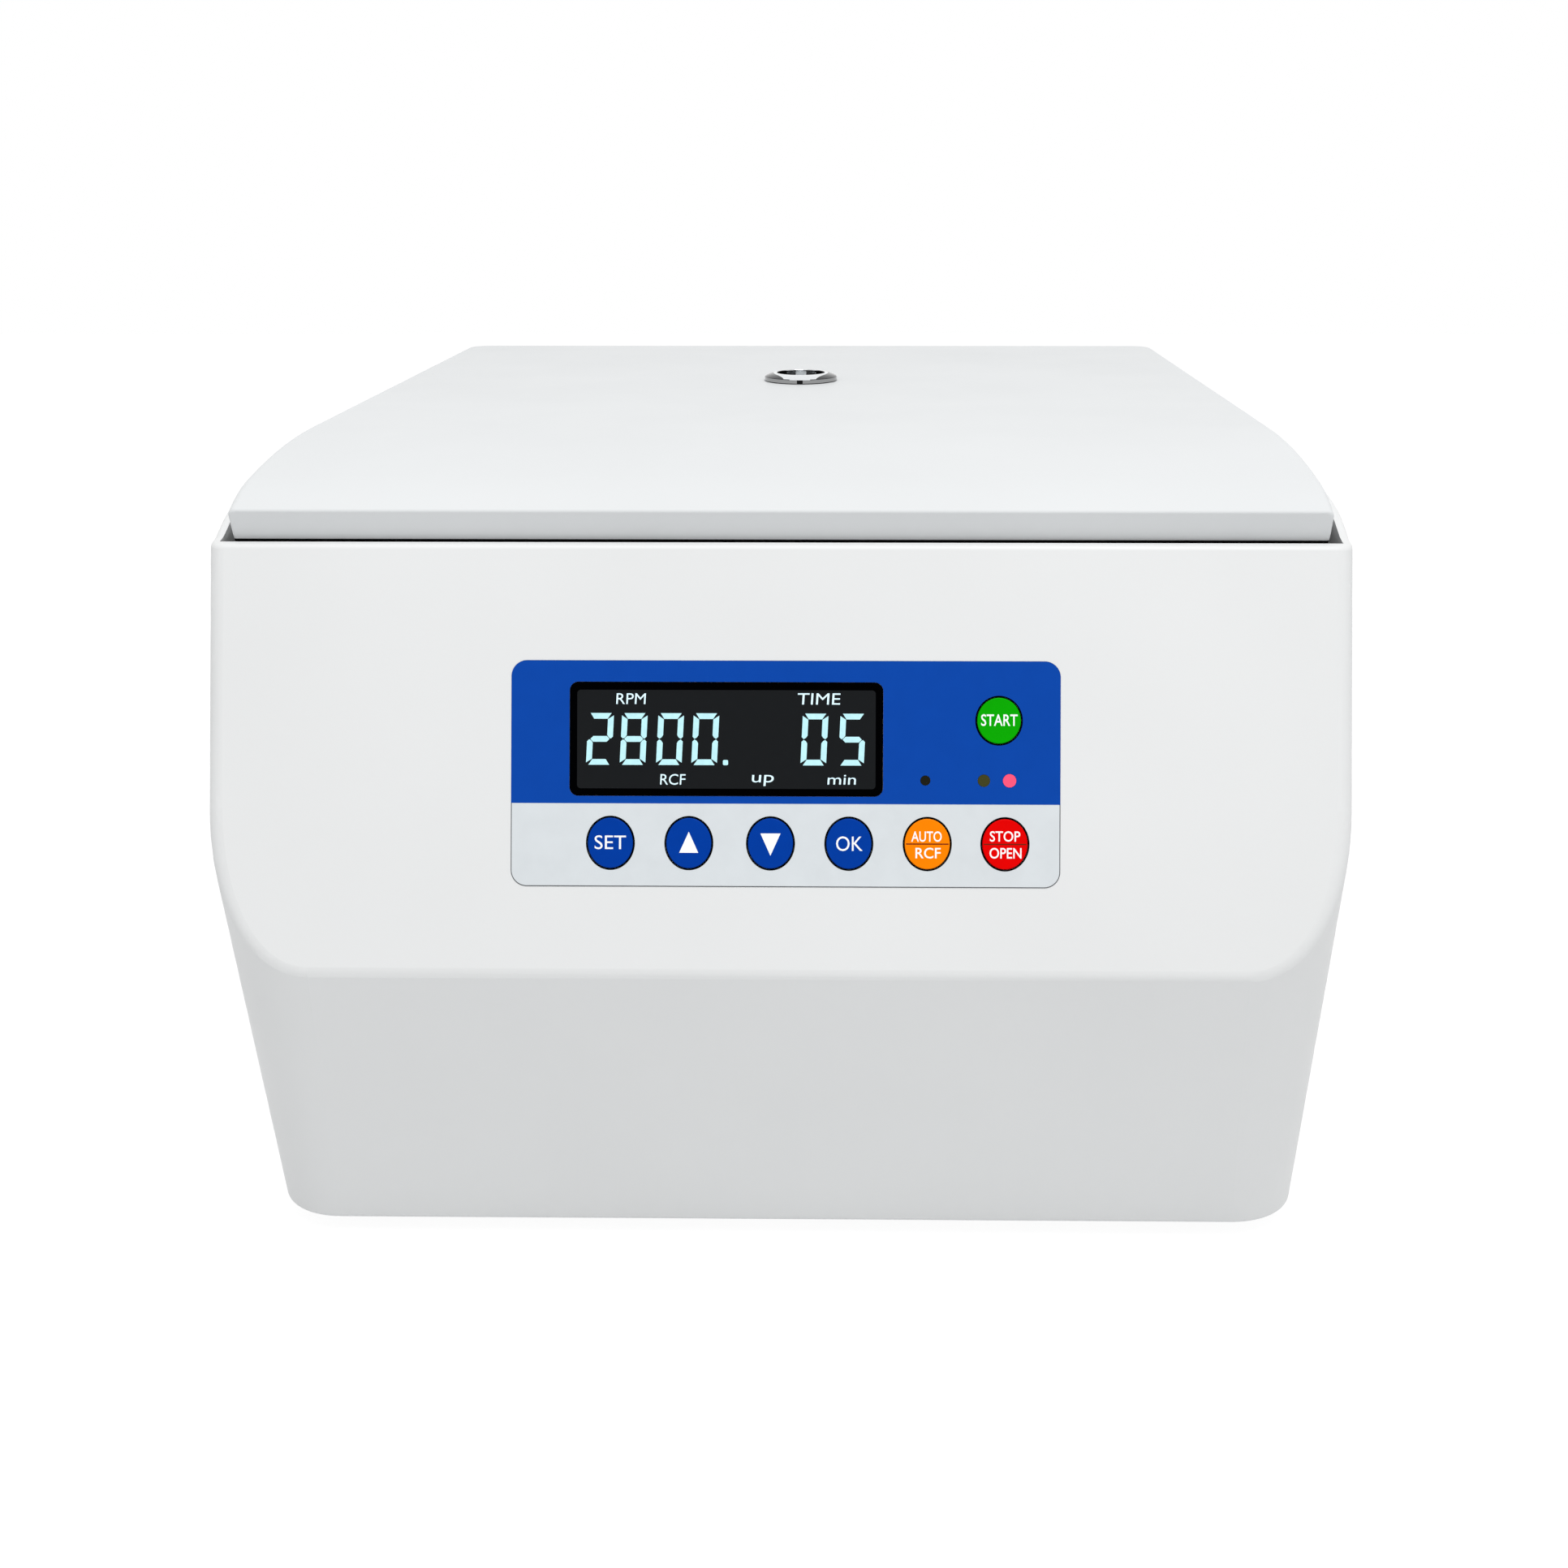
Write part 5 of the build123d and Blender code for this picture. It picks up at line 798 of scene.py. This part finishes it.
# Lens caps: an unlit one, a dull one and the lit one
for (x, up, radius), look, name in zip(
    lens_places, (lamp_off, lamp_olive, lamp_pink), ("lens_ready", "lens_lid", "lens_run")
):
    print_shape(name, [ellipse(x, up, radius, radius)], tip_out, tip_out + ink, look)

# ---------------------------------------------------------------- light
soft_strength = 0.56             # of the world as it lights the object
seen_strength = 1.0              # of the world as a white background and in mirrors
lamp_place = (0.3, -1.42, 2.8)
lamp_side = 1.6
lamp_power = 54
body_middle = (0, 0, 0.18)

world = bpy.data.worlds.new("studio")
bpy.context.scene.world = world
world.use_nodes = True
sky = world.node_tree
sky.nodes.clear()
sky_out = sky.nodes.new("ShaderNodeOutputWorld")
sky_light = sky.nodes.new("ShaderNodeBackground")
sky_light.inputs["Color"].default_value = (1, 1, 1, 1)
sky_light.inputs["Strength"].default_value = soft_strength
sky_seen = sky.nodes.new("ShaderNodeBackground")
sky_seen.inputs["Color"].default_value = (1, 1, 1, 1)
sky_seen.inputs["Strength"].default_value = seen_strength


def seen_share(tree):
    """1 where a ray comes from the camera, a mirror or a glass, and 0 for soft light."""
    path = tree.nodes.new("ShaderNodeLightPath")
    share = path.outputs["Is Camera Ray"]
    for output in ("Is Glossy Ray", "Is Transmission Ray"):
        share = reckoned(tree, "MAXIMUM", share, path.outputs[output])
    return share


sky_mix = sky.nodes.new("ShaderNodeMixShader")
sky.links.new(seen_share(sky), sky_mix.inputs["Fac"])
sky.links.new(sky_light.outputs[0], sky_mix.inputs[1])
sky.links.new(sky_seen.outputs[0], sky_mix.inputs[2])
sky.links.new(sky_mix.outputs[0], sky_out.inputs["Surface"])


lamp = bpy.data.lights.new("lamp_key", "AREA")
lamp.shape = "SQUARE"
lamp.size = lamp_side
lamp.energy = lamp_power
lamp_holder = bpy.data.objects.new("lamp_key", lamp)
bpy.context.scene.collection.objects.link(lamp_holder)
lamp_holder.location = lamp_place
lamp_aim = Vector(body_middle) - Vector(lamp_place)
lamp_holder.rotation_euler = lamp_aim.to_track_quat("-Z", "Y").to_euler()

# ---------------------------------------------------------------- floor
floor_reach = 12
floor_shade = 0.13               # how much of the object's shadow the seen floor keeps
floor_brightness = 0.94
# Where the floor stays in the housing's shadow: axis, middle and half width
floor_covered = (("X", 0.0, 0.17), ("Y", 0.02, 0.2))

floor_mesh = bpy.data.meshes.new("floor")
floor_mesh.from_pydata(
    [(x, y, 0) for x, y in ((-floor_reach, -floor_reach), (floor_reach, -floor_reach),
                            (floor_reach, floor_reach), (-floor_reach, floor_reach))],
    [], [(0, 1, 2, 3)],
)
floor = bpy.data.objects.new("floor", floor_mesh)
bpy.context.scene.collection.objects.link(floor)
floor_look = bpy.data.materials.new("floor_white")
floor_look.use_nodes = True
floor_tree = floor_look.node_tree
floor_tree.nodes.clear()
floor_out = floor_tree.nodes.new("ShaderNodeOutputMaterial")
floor_plain = floor_tree.nodes.new("ShaderNodeBsdfDiffuse")
floor_plain.inputs["Color"].default_value = linear(236, 237, 238)
floor_shaded = floor_tree.nodes.new("ShaderNodeBsdfDiffuse")
floor_shaded.inputs["Color"].default_value = (floor_shade, floor_shade, floor_shade, 1)
floor_bright = floor_tree.nodes.new("ShaderNodeEmission")
floor_sum = floor_tree.nodes.new("ShaderNodeAddShader")
floor_mix = floor_tree.nodes.new("ShaderNodeMixShader")
floor_tree.links.new(floor_shaded.outputs[0], floor_sum.inputs[0])
floor_tree.links.new(floor_bright.outputs[0], floor_sum.inputs[1])
# Only the open floor is bright, so that nothing shines up through the housing's vents
floor_spot = floor_tree.nodes.new("ShaderNodeSeparateXYZ")
floor_place = floor_tree.nodes.new("ShaderNodeTexCoord").outputs["Object"]
floor_tree.links.new(floor_place, floor_spot.inputs[0])
beyond = []
for axis, middle, half in floor_covered:
    away = reckoned(floor_tree, "SUBTRACT", floor_spot.outputs[axis], middle)
    beyond.append(reckoned(floor_tree, "GREATER_THAN", reckoned(floor_tree, "ABSOLUTE", away), half))
open_floor = reckoned(floor_tree, "MAXIMUM", *beyond)
floor_level = reckoned(floor_tree, "MULTIPLY", open_floor, floor_brightness)
floor_tree.links.new(floor_level, floor_bright.inputs["Strength"])
floor_tree.links.new(seen_share(floor_tree), floor_mix.inputs["Fac"])
floor_tree.links.new(floor_plain.outputs[0], floor_mix.inputs[1])
floor_tree.links.new(floor_sum.outputs[0], floor_mix.inputs[2])
floor_tree.links.new(floor_mix.outputs[0], floor_out.inputs["Surface"])
floor_mesh.materials.append(floor_look)

# ---------------------------------------------------------------- camera
photo_side = 1932
sensor = 36
focal_pixels = 2202.3
centre_column = 1026.5
eye = Vector((29.5, -900.2, 395.3)) * MM
yaw = radians(-0.74)
pitch = radians(15.87)

lens = bpy.data.cameras.new("camera")
lens.sensor_width = sensor
lens.lens = focal_pixels / photo_side * sensor
lens.shift_x = -(centre_column - photo_side / 2) / photo_side
lens.clip_start = 0.05
camera = bpy.data.objects.new("camera", lens)
bpy.context.scene.collection.objects.link(camera)
camera.location = eye
sight = Vector((sin(yaw) * cos(pitch), cos(yaw) * cos(pitch), -sin(pitch)))
camera.rotation_euler = sight.to_track_quat("-Z", "Y").to_euler()
bpy.context.scene.camera = camera
bpy.context.scene.view_settings.view_transform = "Standard"
